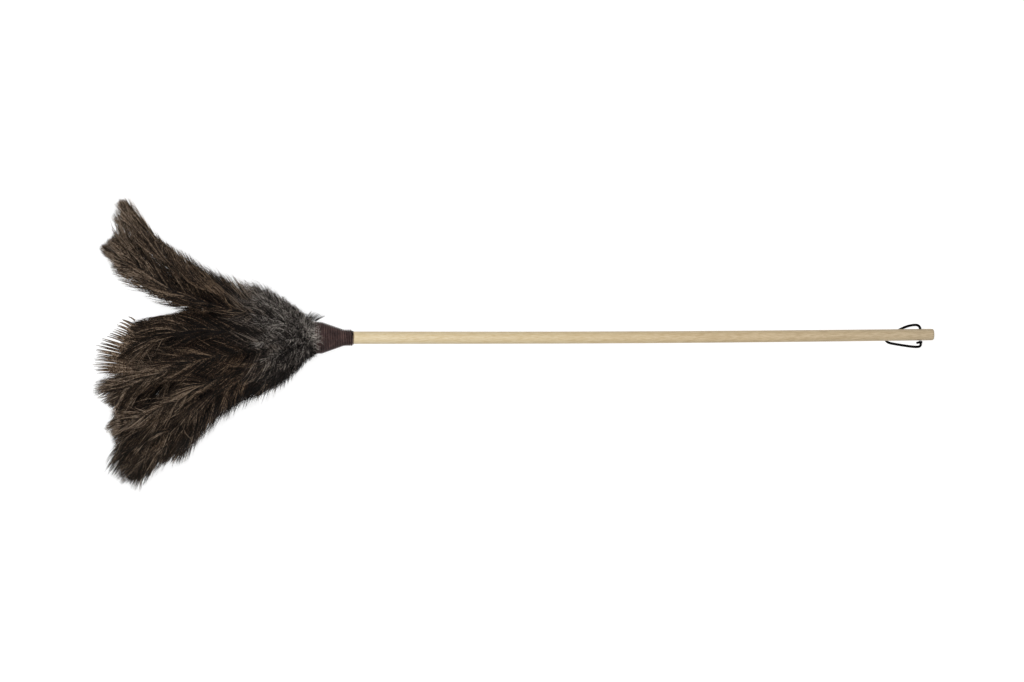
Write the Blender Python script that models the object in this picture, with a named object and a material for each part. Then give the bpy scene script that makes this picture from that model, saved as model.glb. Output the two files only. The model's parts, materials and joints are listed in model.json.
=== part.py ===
"""Ostrich feather duster, lying on a flat surface.

The duster is modelled along its handle. In the handle's own frame the origin is the centre of the
binding's mouth, X runs to the free end of the handle, and the feathers fan out towards -X.
The empty named duster then lays it down: the handle's end and the feathers touch the surface.

Every feather is a loft. Its sections are drawn in the round bundle that the binding holds,
and one smooth mapping opens that bundle into the fan, so no two feathers can cross.
"""

import math

import bmesh
import bpy
import numpy as np
from mathutils import Vector

MM = 0.001
SHARP_ANGLE = math.radians(40.0)
MERGE_DISTANCE = 0.003 * MM

# Clearances between pieces that touch on the real duster
FIT_GAP = 0.3 * MM
QUILL_GAP = 0.35 * MM

# Handle: a round hardwood dowel with a cross hole near its free end
ROD_DIAMETER = 12.4 * MM
ROD_VISIBLE_LENGTH = 624.0 * MM
ROD_NOSE_LENGTH = 12.0 * MM
ROD_EDGE_ROUND = 1.2 * MM
ROD_SIDES = 32
ROD_EDGE_STEPS = 4
HOLE_DIAMETER = 4.0 * MM
HOLE_FROM_END = 14.5 * MM
HOLE_SIDES = 16

# Quills: three rings round the dowel, each tied before the next is laid on it
QUILL_DIAMETER = 1.6 * MM
DOWN_QUILL_DIAMETER = 1.3 * MM
TIE_WIRE_DIAMETER = 0.5 * MM
TIE_WIRE_TURNS = 2
TIE_WIRE_PITCH = 1.1 * MM
TIE_WIRE_FROM_MOUTH = 2.5 * MM
TIE_WIRE_POINTS_PER_TURN = 24
INNER_COUNT = 8
MIDDLE_COUNTS = (3, 8)
OUTER_COUNTS = (5, 11)

# Binding: a tapered body of inner thread layers under one visible winding
THREAD_DIAMETER = 1.3 * MM
THREAD_TURNS = 21
THREAD_POINTS_PER_TURN = 24
BINDING_LENGTH = 41.0 * MM
COLLAR_LENGTH = 8.0 * MM
NECK_LENGTH = 9.5 * MM
MOUTH_WALL = 1.4 * MM
NECK_WALL = 0.7 * MM
CORE_SIDES = 32
BEAD_LENGTH = 1.3 * MM
BEAD_HEIGHT = 0.9 * MM
BEAD_EDGE_HEIGHT = 0.4 * MM

# Feather head: reach and spread of the fan, and how it sinks towards the surface
HEAD_LENGTH = 234.5 * MM
SPREAD_UPPER = 160.0 * MM
SPREAD_LOWER = 164.0 * MM
CREST_HEIGHT = 68.0 * MM
MOUTH_HEIGHT = 63.8 * MM
DROOP = 50.0 * MM
DROOP_POWER = 2.2
FLAT_CUT = 1.2 * MM
NOTCH_OPENING = 52.0 * MM
NOTCH_POWER = 1.5
NOTCH_LINE = 40.0 * MM
NOTCH_LINE_POWER = 0.8
NOTCH_START_SHARE = 0.62
NOTCH_ACROSS_SHARE = 0.32
NOTCH_SEAM_SHARE = 0.012
BOTTOM_FLATNESS_SHARE = 0.95

# Growth of the fan from the bundle to its full spread, by distance from the mouth
FAN_STATION_SHARES = (0.0, 0.07, 0.14, 0.25, 0.40, 0.54, 0.62, 0.75, 0.88, 1.0)
UPPER_GROWTH_SHARES = (0.0, 0.07, 0.16, 0.32, 0.405, 0.49, 0.60, 0.80, 1.00, 1.10)
LOWER_GROWTH_SHARES = (0.0, 0.08, 0.185, 0.35, 0.49, 0.665, 0.82, 0.925, 1.01, 1.03)
CREST_GROWTH_SHARES = (0.0, 0.16, 0.38, 0.71, 0.93, 1.0, 0.96, 0.82, 0.63, 0.49)

# Rings open inside the fan: their place between its middle and its rim once they are open
INNER_RING_SHARE = 0.26
MIDDLE_RING_SHARE = 0.58
OUTER_RING_SHARE = 0.91
RING_OPEN_SHARE = 0.35

# Reach of the feather tips, by their place across the fan, as shares of the head's length
TIP_ACROSS_SHARES = (-1.0, -0.8, -0.5, -0.2, 0.1, 0.31, 0.33, 0.6, 1.0)
TIP_REACH_SHARES = (0.87, 0.93, 0.985, 1.0, 0.94, 0.89, 0.975, 0.94, 0.90)
TIP_RIPPLE_SHARE = 0.018
TIP_RIPPLE_STEP = 2.4
INNER_TIP_SHARE = 0.96

# Vane of a full feather: its stations, its width there, and the share of that width at which
# it has its full thickness
VANE_CORNERS = 8
VANE_THICKNESS = 4.4 * MM
VANE_FILL_SHARE = 0.86
VANE_FULL_FROM_SHARE = 0.5
VANE_STATION_SHARES = (0.045, 0.12, 0.22, 0.34, 0.46, 0.58, 0.70, 0.80, 0.89, 0.96, 1.0)
VANE_WIDTH_SHARES = (0.0, 0.36, 0.66, 0.84, 0.94, 0.86, 1.0, 0.88, 0.94, 0.62, 0.22)
VANE_SHOULDER_SHARE = 0.62

# Down feathers: short and broad, they hide the mouth of the binding
DOWN_LENGTH = 71.0 * MM
DOWN_THICKNESS = 7.0 * MM
DOWN_FILL_SHARE = 0.80
DOWN_STATION_SHARES = (0.07, 0.16, 0.30, 0.46, 0.62, 0.82, 1.0)
DOWN_WIDTH_SHARES = (0.0, 0.30, 0.78, 1.0, 0.90, 0.94, 0.35)
DOWN_FLARE_SHARES = (1.0, 1.13, 1.20, 1.18, 1.12, 1.06, 1.00)

# Hanging loop: its diameter, its step between points as a share of that, and its route from the
# pivot, which is the middle of the hole
CORD_DIAMETER = 2.7 * MM
LOOP_STEP_SHARE = 0.7
LOOP_CURVE_STEPS = 12
LOOP_ROUTE = (
    (0.0000, -0.0064, 0.0000), (0.0000, 0.0000, 0.0000), (0.0000, 0.0056, 0.0000),
    (-0.0004, 0.0075, -0.0001), (-0.0014, 0.0091, -0.0003), (-0.0029, 0.0101, -0.0008),
    (-0.0047, 0.0104, -0.0013), (-0.0090, 0.0101, -0.0028), (-0.0145, 0.0087, -0.0046),
    (-0.0205, 0.0061, -0.0057), (-0.0265, 0.0028, -0.0059), (-0.0312, 0.0006, -0.0059),
    (-0.0341, -0.0008, -0.0059), (-0.0362, -0.0025, -0.0059), (-0.0368, -0.0046, -0.0059),
    (-0.0361, -0.0066, -0.0059), (-0.0343, -0.0081, -0.0059), (-0.0320, -0.0090, -0.0059),
    (-0.0280, -0.0098, -0.0059), (-0.0205, -0.0111, -0.0057), (-0.0135, -0.0122, -0.0047),
    (-0.0080, -0.0129, -0.0028), (-0.0050, -0.0131, -0.0017), (-0.0029, -0.0131, -0.0010),
    (-0.0012, -0.0128, -0.0004), (0.0000, -0.0119, -0.0001), (0.0004, -0.0109, 0.0000),
    (0.0004, -0.0098, 0.0000),
)

# Knot of the loop: the tied ends under the hole, two wraps and a short tail
KNOT_BODY_DIAMETER = 3.1 * MM
KNOT_WRAP_DIAMETER = 4.6 * MM
KNOT_WRAP_LENGTH = 1.4 * MM
KNOT_TAIL_LENGTH = 4.4 * MM
KNOT_TAIL_TILT = math.radians(14.0)
KNOT_WRAPS = 2
KNOT_WRAP_SECTION_SHARES = ((0.25, 0.5), (0.5, 1.0), (0.75, 0.5), (1.0, 0.0))
KNOT_SIDES = 16
KNOT_TAIL_SIDES = 8

# Worked out from the sizes above
ROD_RADIUS = ROD_DIAMETER / 2
QUILL_RADIUS = QUILL_DIAMETER / 2
THREAD_RADIUS = THREAD_DIAMETER / 2
WIRE_RADIUS = TIE_WIRE_DIAMETER / 2
CORD_RADIUS = CORD_DIAMETER / 2
INNER_RING = ROD_RADIUS + QUILL_GAP + QUILL_RADIUS
INNER_WIRE = INNER_RING + QUILL_RADIUS + QUILL_GAP + WIRE_RADIUS
MIDDLE_RING = INNER_WIRE + WIRE_RADIUS + QUILL_GAP + QUILL_RADIUS
MIDDLE_WIRE = MIDDLE_RING + QUILL_RADIUS + QUILL_GAP + WIRE_RADIUS
OUTER_RING = MIDDLE_WIRE + WIRE_RADIUS + QUILL_GAP + QUILL_RADIUS
BUNDLE_RADIUS = OUTER_RING + QUILL_RADIUS
MOUTH_BORE = BUNDLE_RADIUS + QUILL_GAP
ROD_BORE = ROD_RADIUS + FIT_GAP
MOUTH_RADIUS = MOUTH_BORE + MOUTH_WALL
NECK_RADIUS = ROD_BORE + NECK_WALL
NECK_START = BINDING_LENGTH - NECK_LENGTH
HANDLE_REACH = BINDING_LENGTH + ROD_VISIBLE_LENGTH
PIVOT_REACH = HANDLE_REACH - HOLE_FROM_END

# The tilt at which the head holds its mouth up and the round edge of the handle's end touches down
EDGE_CENTRE = (HANDLE_REACH - ROD_EDGE_ROUND, ROD_RADIUS - ROD_EDGE_ROUND)
REST_TILT = math.asin((MOUTH_HEIGHT - ROD_EDGE_ROUND) / math.hypot(*EDGE_CENTRE)) - math.atan2(
    EDGE_CENTRE[1], EDGE_CENTRE[0]
)


def material(name, colour, roughness, metallic=0.0):
    """A plain principled material from an sRGB hex colour."""
    channels = [int(colour[i:i + 2], 16) / 255 for i in (0, 2, 4)]
    linear = [c / 12.92 if c <= 0.04045 else ((c + 0.055) / 1.055) ** 2.4 for c in channels]
    made = bpy.data.materials.new(name)
    made.use_nodes = True
    shader = made.node_tree.nodes["Principled BSDF"]
    shader.inputs["Base Color"].default_value = (*linear, 1.0)
    shader.inputs["Roughness"].default_value = roughness
    shader.inputs["Metallic"].default_value = metallic
    return made


def add_object(name, data, surface, parent):
    """Put a mesh or curve in the scene under its parent, with its material."""
    obj = bpy.data.objects.new(name, data)
    bpy.context.scene.collection.objects.link(obj)
    data.materials.append(surface)
    obj.parent = parent
    return obj


def add_empty(name, parent=None, location=(0.0, 0.0, 0.0), turn_y=0.0):
    """A guide that carries pieces."""
    empty = bpy.data.objects.new(name, None)
    bpy.context.scene.collection.objects.link(empty)
    empty.parent = parent
    empty.location = location
    empty.rotation_euler = (0.0, turn_y, 0.0)
    return empty


def finish_mesh(name, bm):
    """Turn a bmesh into a mesh with its faces pointing out, smooth on round stretches."""
    bmesh.ops.recalc_face_normals(bm, faces=bm.faces)
    if bm.calc_volume(signed=True) < 0.0:
        bmesh.ops.reverse_faces(bm, faces=bm.faces)
    mesh = bpy.data.meshes.new(name)
    bm.to_mesh(mesh)
    bm.free()
    mesh.shade_smooth()
    mesh.set_sharp_from_angle(angle=SHARP_ANGLE)
    return mesh


def turned_mesh(name, profile, sides, closed):
    """Spin a profile of (x, radius) points about the X axis.

    An open profile starts and ends on the axis; a closed one is the section of a ring.
    """
    bm = bmesh.new()
    line = [bm.verts.new((x, 0.0, radius)) for x, radius in profile]
    edges = [bm.edges.new(pair) for pair in zip(line, line[1:])]
    if closed:
        edges.append(bm.edges.new((line[-1], line[0])))
    bmesh.ops.spin(
        bm, geom=line + edges, cent=(0.0, 0.0, 0.0), axis=(1.0, 0.0, 0.0),
        angle=math.tau, steps=sides, use_merge=True,
    )
    bmesh.ops.remove_doubles(bm, verts=bm.verts, dist=MERGE_DISTANCE)
    return finish_mesh(name, bm)


def lofted_mesh(name, sections):
    """Skin one closed section after another, with flat ends."""
    bm = bmesh.new()
    rings = [[bm.verts.new(point) for point in section] for section in sections]
    for ring, following in zip(rings, rings[1:]):
        for i, vertex in enumerate(ring):
            j = (i + 1) % len(ring)
            bm.faces.new((vertex, ring[j], following[j], following[i]))
    bm.faces.new(rings[0])
    bm.faces.new(rings[-1])
    return finish_mesh(name, bm)


def tube_curve(name, points, radius, resolution):
    """A round tube with filled caps along a line of points."""
    curve = bpy.data.curves.new(name, "CURVE")
    curve.dimensions = "3D"
    curve.bevel_depth = radius
    curve.bevel_resolution = resolution
    curve.use_fill_caps = True
    spline = curve.splines.new("POLY")
    spline.points.add(len(points) - 1)
    for target, point in zip(spline.points, points):
        target.co = (*point, 1.0)
    return curve


def coil_points(centre_line, turns, points_per_turn, tube_diameter):
    """Points of one unbroken coil about X, with straight ends one tube diameter long.

    centre_line gives (x, radius) of the coil's middle for a share of its length.
    """
    steps = turns * points_per_turn
    points = []
    for step in range(steps + 1):
        x, radius = centre_line(step / steps)
        angle = math.tau * step / points_per_turn
        points.append(Vector((x, radius * math.sin(angle), radius * math.cos(angle))))
    lead_in = (points[0] - points[1]).normalized() * tube_diameter
    lead_out = (points[-1] - points[-2]).normalized() * tube_diameter
    return [points[0] + lead_in] + points + [points[-1] + lead_out]


def least_gap(points, points_per_turn, tube_diameter):
    """The smallest gap between one turn of a coil and the next."""
    gaps = []
    for i, point in enumerate(points):
        nearby = points[i + points_per_turn // 2:i + 2 * points_per_turn]
        gaps += [(point - other).length - tube_diameter for other in nearby]
    return min(gaps)


def make_rod(wood, parent):
    """The dowel, its edges rounded and its cross hole drilled along Y."""
    profile = [(-ROD_NOSE_LENGTH, 0.0)]
    for step in range(ROD_EDGE_STEPS + 1):
        angle = math.pi / 2 * step / ROD_EDGE_STEPS
        profile.append((
            -ROD_NOSE_LENGTH + ROD_EDGE_ROUND * (1 - math.cos(angle)),
            ROD_RADIUS - ROD_EDGE_ROUND * (1 - math.sin(angle)),
        ))
    for step in range(ROD_EDGE_STEPS + 1):
        angle = math.pi / 2 * (1 - step / ROD_EDGE_STEPS)
        profile.append((
            HANDLE_REACH - ROD_EDGE_ROUND * (1 - math.cos(angle)),
            ROD_RADIUS - ROD_EDGE_ROUND * (1 - math.sin(angle)),
        ))
    profile.append((HANDLE_REACH, 0.0))
    rod = add_object("handle_rod", turned_mesh("handle_rod", profile, ROD_SIDES, False), wood, parent)

    bm = bmesh.new()
    bmesh.ops.create_cone(
        bm, cap_ends=True, segments=HOLE_SIDES, radius1=HOLE_DIAMETER / 2,
        radius2=HOLE_DIAMETER / 2, depth=2 * ROD_DIAMETER,
    )
    drill = add_object("cross_hole_drill", finish_mesh("cross_hole_drill", bm), wood, parent)
    drill.location = (PIVOT_REACH, 0.0, 0.0)
    drill.rotation_euler = (math.pi / 2, 0.0, 0.0)
    drill.hide_render = True
    drill.display_type = "WIRE"
    cut = rod.modifiers.new("cross_hole", "BOOLEAN")
    cut.operation = "DIFFERENCE"
    cut.solver = "EXACT"
    cut.object = drill
    return rod


def make_binding_core(thread, parent):
    """The inner layers of thread: a collar, a taper and a neck, hollow for the quills."""
    profile = [
        (0.0, MOUTH_RADIUS), (COLLAR_LENGTH, MOUTH_RADIUS), (NECK_START, NECK_RADIUS),
        (BINDING_LENGTH, NECK_RADIUS), (BINDING_LENGTH, ROD_BORE), (NECK_START, ROD_BORE),
        (COLLAR_LENGTH, MOUTH_BORE), (0.0, MOUTH_BORE),
    ]
    mesh = turned_mesh("binding_core", profile, CORE_SIDES, True)
    return add_object("binding_core", mesh, thread, parent)


def winding_line(share):
    """The middle of the visible thread, evenly spaced along collar, taper and neck."""
    slant = math.hypot(NECK_START - COLLAR_LENGTH, MOUTH_RADIUS - NECK_RADIUS)
    seat = FIT_GAP + THREAD_RADIUS
    tilted_seat = seat * slant / (NECK_START - COLLAR_LENGTH)
    places = (THREAD_RADIUS, COLLAR_LENGTH, NECK_START, BINDING_LENGTH - THREAD_RADIUS)
    radii = (
        MOUTH_RADIUS + seat, MOUTH_RADIUS + tilted_seat, NECK_RADIUS + tilted_seat,
        NECK_RADIUS + seat,
    )
    lengths = np.concatenate(([0.0], np.cumsum(np.hypot(np.diff(places), np.diff(radii)))))
    along = share * lengths[-1]
    return float(np.interp(along, lengths, places)), float(np.interp(along, lengths, radii))


def make_winding(thread, parent):
    """The visible winding: one unbroken lacquered thread."""
    points = coil_points(winding_line, THREAD_TURNS, THREAD_POINTS_PER_TURN, THREAD_DIAMETER)
    gap = least_gap(points, THREAD_POINTS_PER_TURN, THREAD_DIAMETER)
    print(f"least gap of binding_winding to itself: {gap / MM:.2f} mm")
    curve = tube_curve("binding_winding", points, THREAD_RADIUS, 1)
    return add_object("binding_winding", curve, thread, parent)


def make_tie_wire(name, radius, wire, parent):
    """A short coil that ties one ring of quills before the next is laid on."""
    def line(share):
        reach = TIE_WIRE_TURNS * TIE_WIRE_PITCH
        return TIE_WIRE_FROM_MOUTH + reach * share, radius

    points = coil_points(line, TIE_WIRE_TURNS, TIE_WIRE_POINTS_PER_TURN, TIE_WIRE_DIAMETER)
    gap = least_gap(points, TIE_WIRE_POINTS_PER_TURN, TIE_WIRE_DIAMETER)
    print(f"least gap of {name} to itself: {gap / MM:.2f} mm")
    return add_object(name, tube_curve(name, points, WIRE_RADIUS, 0), wire, parent)


def make_glue_bead(glue, parent):
    """The bead of glue that ends the winding on the dowel."""
    start = BINDING_LENGTH + FIT_GAP
    profile = [
        (start, ROD_BORE), (start, ROD_BORE + BEAD_HEIGHT),
        (start + BEAD_LENGTH / 2, ROD_BORE + BEAD_HEIGHT),
        (start + BEAD_LENGTH, ROD_BORE + BEAD_EDGE_HEIGHT), (start + BEAD_LENGTH, ROD_BORE),
    ]
    mesh = turned_mesh("glue_bead", profile, CORE_SIDES, True)
    return add_object("glue_bead", mesh, glue, parent)


def floor_level(distance):
    """The surface under the fan, in the handle's frame, at a distance from the mouth."""
    return -(MOUTH_HEIGHT + distance * math.sin(REST_TILT)) / math.cos(REST_TILT)


def fan_edge(distance, full, shares):
    """How far the fan reaches to one side at a distance from the mouth."""
    growth = np.interp(distance / HEAD_LENGTH, FAN_STATION_SHARES, shares)
    return BUNDLE_RADIUS + (full - BUNDLE_RADIUS) * growth


def fan_width(distance):
    """Half the fan's width at a distance from the mouth."""
    upper = fan_edge(distance, SPREAD_UPPER, UPPER_GROWTH_SHARES)
    lower = fan_edge(distance, SPREAD_LOWER, LOWER_GROWTH_SHARES)
    return (upper + lower) / 2


def across_the_fan(distance, across):
    """Y of a point of the bundle, past the notch that parts the upper tuft from the rest."""
    upper = fan_edge(distance, SPREAD_UPPER, UPPER_GROWTH_SHARES)
    lower = -fan_edge(distance, SPREAD_LOWER, LOWER_GROWTH_SHARES)
    reach = distance / HEAD_LENGTH
    start = BUNDLE_RADIUS * NOTCH_ACROSS_SHARE
    line = start + (NOTCH_LINE - start) * min(reach, 1.0) ** NOTCH_LINE_POWER
    open_share = max(0.0, reach - NOTCH_START_SHARE) / (1 - NOTCH_START_SHARE)
    half = NOTCH_OPENING * open_share ** NOTCH_POWER + NOTCH_SEAM_SHARE * (upper - lower)
    places = (-1.0, NOTCH_ACROSS_SHARE - NOTCH_SEAM_SHARE, NOTCH_ACROSS_SHARE + NOTCH_SEAM_SHARE, 1.0)
    if across < -1.0:
        return lower * -across
    if across > 1.0:
        return upper * across
    return float(np.interp(across, places, (lower, line - half, line + half, upper)))


def open_fan(distance, across, up):
    """Carry a point of the round bundle, at a distance from the mouth, to its place in the fan.

    across and up are its place in the bundle, as shares of the bundle's radius.
    """
    if distance <= 0.0:
        return (-distance, BUNDLE_RADIUS * across, BUNDLE_RADIUS * up)
    floor = floor_level(distance)
    middle = -DROOP * (distance / HEAD_LENGTH) ** DROOP_POWER
    crest = fan_edge(distance, CREST_HEIGHT, CREST_GROWTH_SHARES)
    if up > 0.0:
        z = middle + up * crest
    else:
        rim = OUTER_RING_SHARE + VANE_THICKNESS / 2 / fan_width(distance)
        depth = min(crest, (middle - floor + FLAT_CUT) / rim)
        squaring = 1 / math.sqrt(1 - (BOTTOM_FLATNESS_SHARE * min(abs(across), 1.0)) ** 2)
        z = max(middle + up * squaring * depth, floor)
    return (-distance, across_the_fan(distance, across), z)


def feather_sections(stations, ring, centre, half_widths, half_heights):
    """Sections of one feather, thickest along its shaft.

    ring gives the feather's share of the fan's rim, centre its direction round the bundle.
    """
    sections = []
    for distance, share, half_width, half_height in zip(stations, ring, half_widths, half_heights):
        section = []
        for corner in range(VANE_CORNERS):
            turn = math.tau * corner / VANE_CORNERS
            height = half_height * math.sin(turn)
            if corner % 2 == 1 and half_width > 2 * half_height:
                height *= VANE_SHOULDER_SHARE
            radius = share + height
            angle = centre + half_width * math.cos(turn)
            section.append(open_fan(distance, radius * math.cos(angle), radius * math.sin(angle)))
        sections.append(section)
    return sections


def ring_share(distance, bundle_ring, open_ring_share):
    """A ring's place in the fan: it moves from its radius in the bundle to its open place."""
    held = bundle_ring / BUNDLE_RADIUS
    t = min(max(distance / (HEAD_LENGTH * RING_OPEN_SHARE), 0.0), 1.0)
    return held + (open_ring_share - held) * t * t * (3 - 2 * t)


def quill_end(bundle_ring, radius):
    """How deep a quill reaches into the binding before the taper stops it."""
    slope = (MOUTH_BORE - ROD_BORE) / (NECK_START - COLLAR_LENGTH)
    room = MOUTH_BORE - (bundle_ring + radius + QUILL_GAP)
    return COLLAR_LENGTH + room / slope - FIT_GAP


def make_feather(name, bundle_ring, open_ring_share, cell, reach, surface, parent):
    """One full feather, from its quill in the binding to its rounded tip."""
    centre, half_cell = cell
    quill = QUILL_RADIUS / bundle_ring
    vane = half_cell * VANE_FILL_SHARE
    stations = [-quill_end(bundle_ring, QUILL_RADIUS), 0.0]
    stations += [reach * share for share in VANE_STATION_SHARES]
    widths = [quill, quill] + [quill + (vane - quill) * share for share in VANE_WIDTH_SHARES]
    ring, heights = [], []
    for distance, width in zip(stations, widths):
        ring.append(ring_share(distance, bundle_ring, open_ring_share))
        grown = min(1.0, (width - quill) / (vane - quill) / VANE_FULL_FROM_SHARE)
        thickness = QUILL_RADIUS + (VANE_THICKNESS / 2 - QUILL_RADIUS) * grown
        heights.append(thickness / (BUNDLE_RADIUS if distance <= 0.0 else fan_width(distance)))
    sections = feather_sections(stations, ring, centre, widths, heights)
    return add_object(name, lofted_mesh(name, sections), surface, parent)


def make_down_feather(name, cell, surface, parent):
    """One short broad feather that flares over the mouth of the binding."""
    centre, half_cell = cell
    radius = DOWN_QUILL_DIAMETER / 2
    quill = radius / OUTER_RING
    vane = half_cell * DOWN_FILL_SHARE
    stations = [-quill_end(OUTER_RING, QUILL_RADIUS), 0.0]
    stations += [DOWN_LENGTH * share for share in DOWN_STATION_SHARES]
    widths = [quill, quill] + [quill + (vane - quill) * share for share in DOWN_WIDTH_SHARES]
    held = OUTER_RING / BUNDLE_RADIUS
    ring = [held, held] + list(DOWN_FLARE_SHARES)
    heights = []
    for distance, width in zip(stations, widths):
        grown = min(1.0, (width - quill) / (vane - quill) / VANE_FULL_FROM_SHARE)
        thickness = radius + (DOWN_THICKNESS / 2 - radius) * grown
        heights.append(thickness / (BUNDLE_RADIUS if distance <= 0.0 else fan_width(distance)))
    sections = feather_sections(stations, ring, centre, widths, heights)
    return add_object(name, lofted_mesh(name, sections), surface, parent)


def even_cells(count):
    """Equal cells all round the bundle, as (direction, half width)."""
    half = math.pi / count
    return [(math.pi / 2 + 2 * half * i, half) for i in range(count)]


def parted_cells(counts, open_ring_share):
    """Cells of a ring that the notch parts: so many in the upper tuft, so many in the rest."""
    tuft, rest = counts
    edge = math.acos(NOTCH_ACROSS_SHARE / open_ring_share)
    cells = [(edge * ((2 * i + 1) / tuft - 1), edge / tuft) for i in range(tuft)]
    half = (math.pi - edge) / rest
    cells += [(edge + half * (2 * i + 1), half) for i in range(rest)]
    return cells


def tip_reach(open_ring_share, centre, number):
    """How far a feather's tip reaches, by its place across the fan, with a slight ripple."""
    across = open_ring_share * math.cos(centre)
    share = float(np.interp(across, TIP_ACROSS_SHARES, TIP_REACH_SHARES))
    ripple = TIP_RIPPLE_SHARE * math.sin(TIP_RIPPLE_STEP * number)
    return HEAD_LENGTH * (share - TIP_RIPPLE_SHARE + ripple)


def make_head(vane, down, parent):
    """All the feathers: three rings of full ones and the short downy ones round the mouth."""
    outer_cells = parted_cells(OUTER_COUNTS, OUTER_RING_SHARE)
    rings = (
        ("inner_feather", INNER_RING, INNER_RING_SHARE, even_cells(INNER_COUNT)),
        ("middle_feather", MIDDLE_RING, MIDDLE_RING_SHARE, parted_cells(MIDDLE_COUNTS, MIDDLE_RING_SHARE)),
        ("outer_feather", OUTER_RING, OUTER_RING_SHARE, outer_cells),
    )
    for kind, bundle_ring, open_share, cells in rings:
        for number, cell in enumerate(cells, start=1):
            reach = tip_reach(open_share, cell[0], number)
            if kind == "inner_feather":
                reach *= INNER_TIP_SHARE
            make_feather(f"{kind}_{number:02d}", bundle_ring, open_share, cell, reach, vane, parent)
    for number, (centre, half) in enumerate(outer_cells, start=1):
        make_down_feather(f"down_feather_{number:02d}", (centre + half, half), down, parent)


def smooth_route(route, spacing):
    """Even points on a smooth curve through a cord's own points."""
    ends = [2 * Vector(route[0]) - Vector(route[1])]
    knots = ends + [Vector(point) for point in route] + [2 * Vector(route[-1]) - Vector(route[-2])]
    fine = []
    for a, b, c, d in zip(knots, knots[1:], knots[2:], knots[3:]):
        for step in range(LOOP_CURVE_STEPS):
            t = step / LOOP_CURVE_STEPS
            fine.append(0.5 * (
                2 * b + (c - a) * t + (2 * a - 5 * b + 4 * c - d) * t ** 2
                + (3 * b - a - 3 * c + d) * t ** 3
            ))
    fine.append(knots[-2])
    steps = [0.0] + [(q - p).length for p, q in zip(fine, fine[1:])]
    along = np.cumsum(steps)
    count = round(along[-1] / spacing)
    places = np.linspace(0.0, along[-1], count + 1)
    axes = [np.interp(places, along, [point[axis] for point in fine]) for axis in range(3)]
    print(f"cord length: {along[-1] / MM:.1f} mm in {count + 1} points")
    return list(zip(*axes))


def make_hang_loop(cord, pivot):
    """The cord: through the hole, back under the handle and round to its own knot.

    Its bends are hardly wider than the cord is thick, so it has a point every 0.7 diameters.
    """
    points = smooth_route(LOOP_ROUTE, CORD_DIAMETER * LOOP_STEP_SHARE)
    return add_object("hang_loop", tube_curve("hang_loop", points, CORD_RADIUS, 2), cord, pivot)


def make_loop_knot(cord, pivot):
    """The tied ends: a short body below the hole, two wraps round it and a tail."""
    top = -Vector(LOOP_ROUTE[0]).length - FIT_GAP
    bottom = LOOP_ROUTE[-1][1] + FIT_GAP
    body, wrap = KNOT_BODY_DIAMETER / 2, KNOT_WRAP_DIAMETER / 2
    profile = [(top, 0.0), (top, body)]
    for turn in range(KNOT_WRAPS):
        for along, rise in KNOT_WRAP_SECTION_SHARES:
            profile.append((top - KNOT_WRAP_LENGTH * (turn + along), body + (wrap - body) * rise))
    profile += [(bottom, body), (bottom, 0.0)]
    knot = add_object("loop_knot", turned_mesh("loop_knot", profile, KNOT_SIDES, False), cord, pivot)
    knot.rotation_euler = (0.0, 0.0, math.pi / 2)

    bm = bmesh.new()
    bmesh.ops.create_cone(
        bm, cap_ends=True, segments=KNOT_TAIL_SIDES, radius1=CORD_RADIUS,
        radius2=CORD_RADIUS, depth=KNOT_TAIL_LENGTH,
    )
    tail = add_object("knot_tail_form", finish_mesh("knot_tail_form", bm), cord, pivot)
    middle = top - CORD_RADIUS - KNOT_TAIL_LENGTH / 2 * math.sin(KNOT_TAIL_TILT)
    tail.location = (-KNOT_TAIL_LENGTH / 2 * math.cos(KNOT_TAIL_TILT), middle, 0.0)
    tail.rotation_euler = (0.0, math.pi / 2, KNOT_TAIL_TILT)
    tail.hide_render = True
    tail.display_type = "WIRE"
    join = knot.modifiers.new("tail", "BOOLEAN")
    join.operation = "UNION"
    join.solver = "EXACT"
    join.object = tail
    return knot


def centre_over_origin(duster, left_out):
    """Move the duster so that the middle of its solids, seen from above, is the origin."""
    bpy.context.view_layer.update()
    graph = bpy.context.evaluated_depsgraph_get()
    low, high = Vector((math.inf,) * 3), Vector((-math.inf,) * 3)
    for obj in bpy.context.scene.objects:
        if obj.type not in {"MESH", "CURVE"} or obj.hide_render or obj in left_out:
            continue
        shape = obj.evaluated_get(graph)
        mesh = shape.to_mesh()
        for vertex in mesh.vertices:
            place = shape.matrix_world @ vertex.co
            low = Vector(map(min, low, place))
            high = Vector(map(max, high, place))
        shape.to_mesh_clear()
    duster.location.x -= (low.x + high.x) / 2
    duster.location.y -= (low.y + high.y) / 2
    print(f"length {(high.x - low.x) / MM:.1f}, width {(high.y - low.y) / MM:.1f},", end=" ")
    print(f"height {(high.z - low.z) / MM:.1f}, lowest {low.z / MM:.2f} mm")


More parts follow.
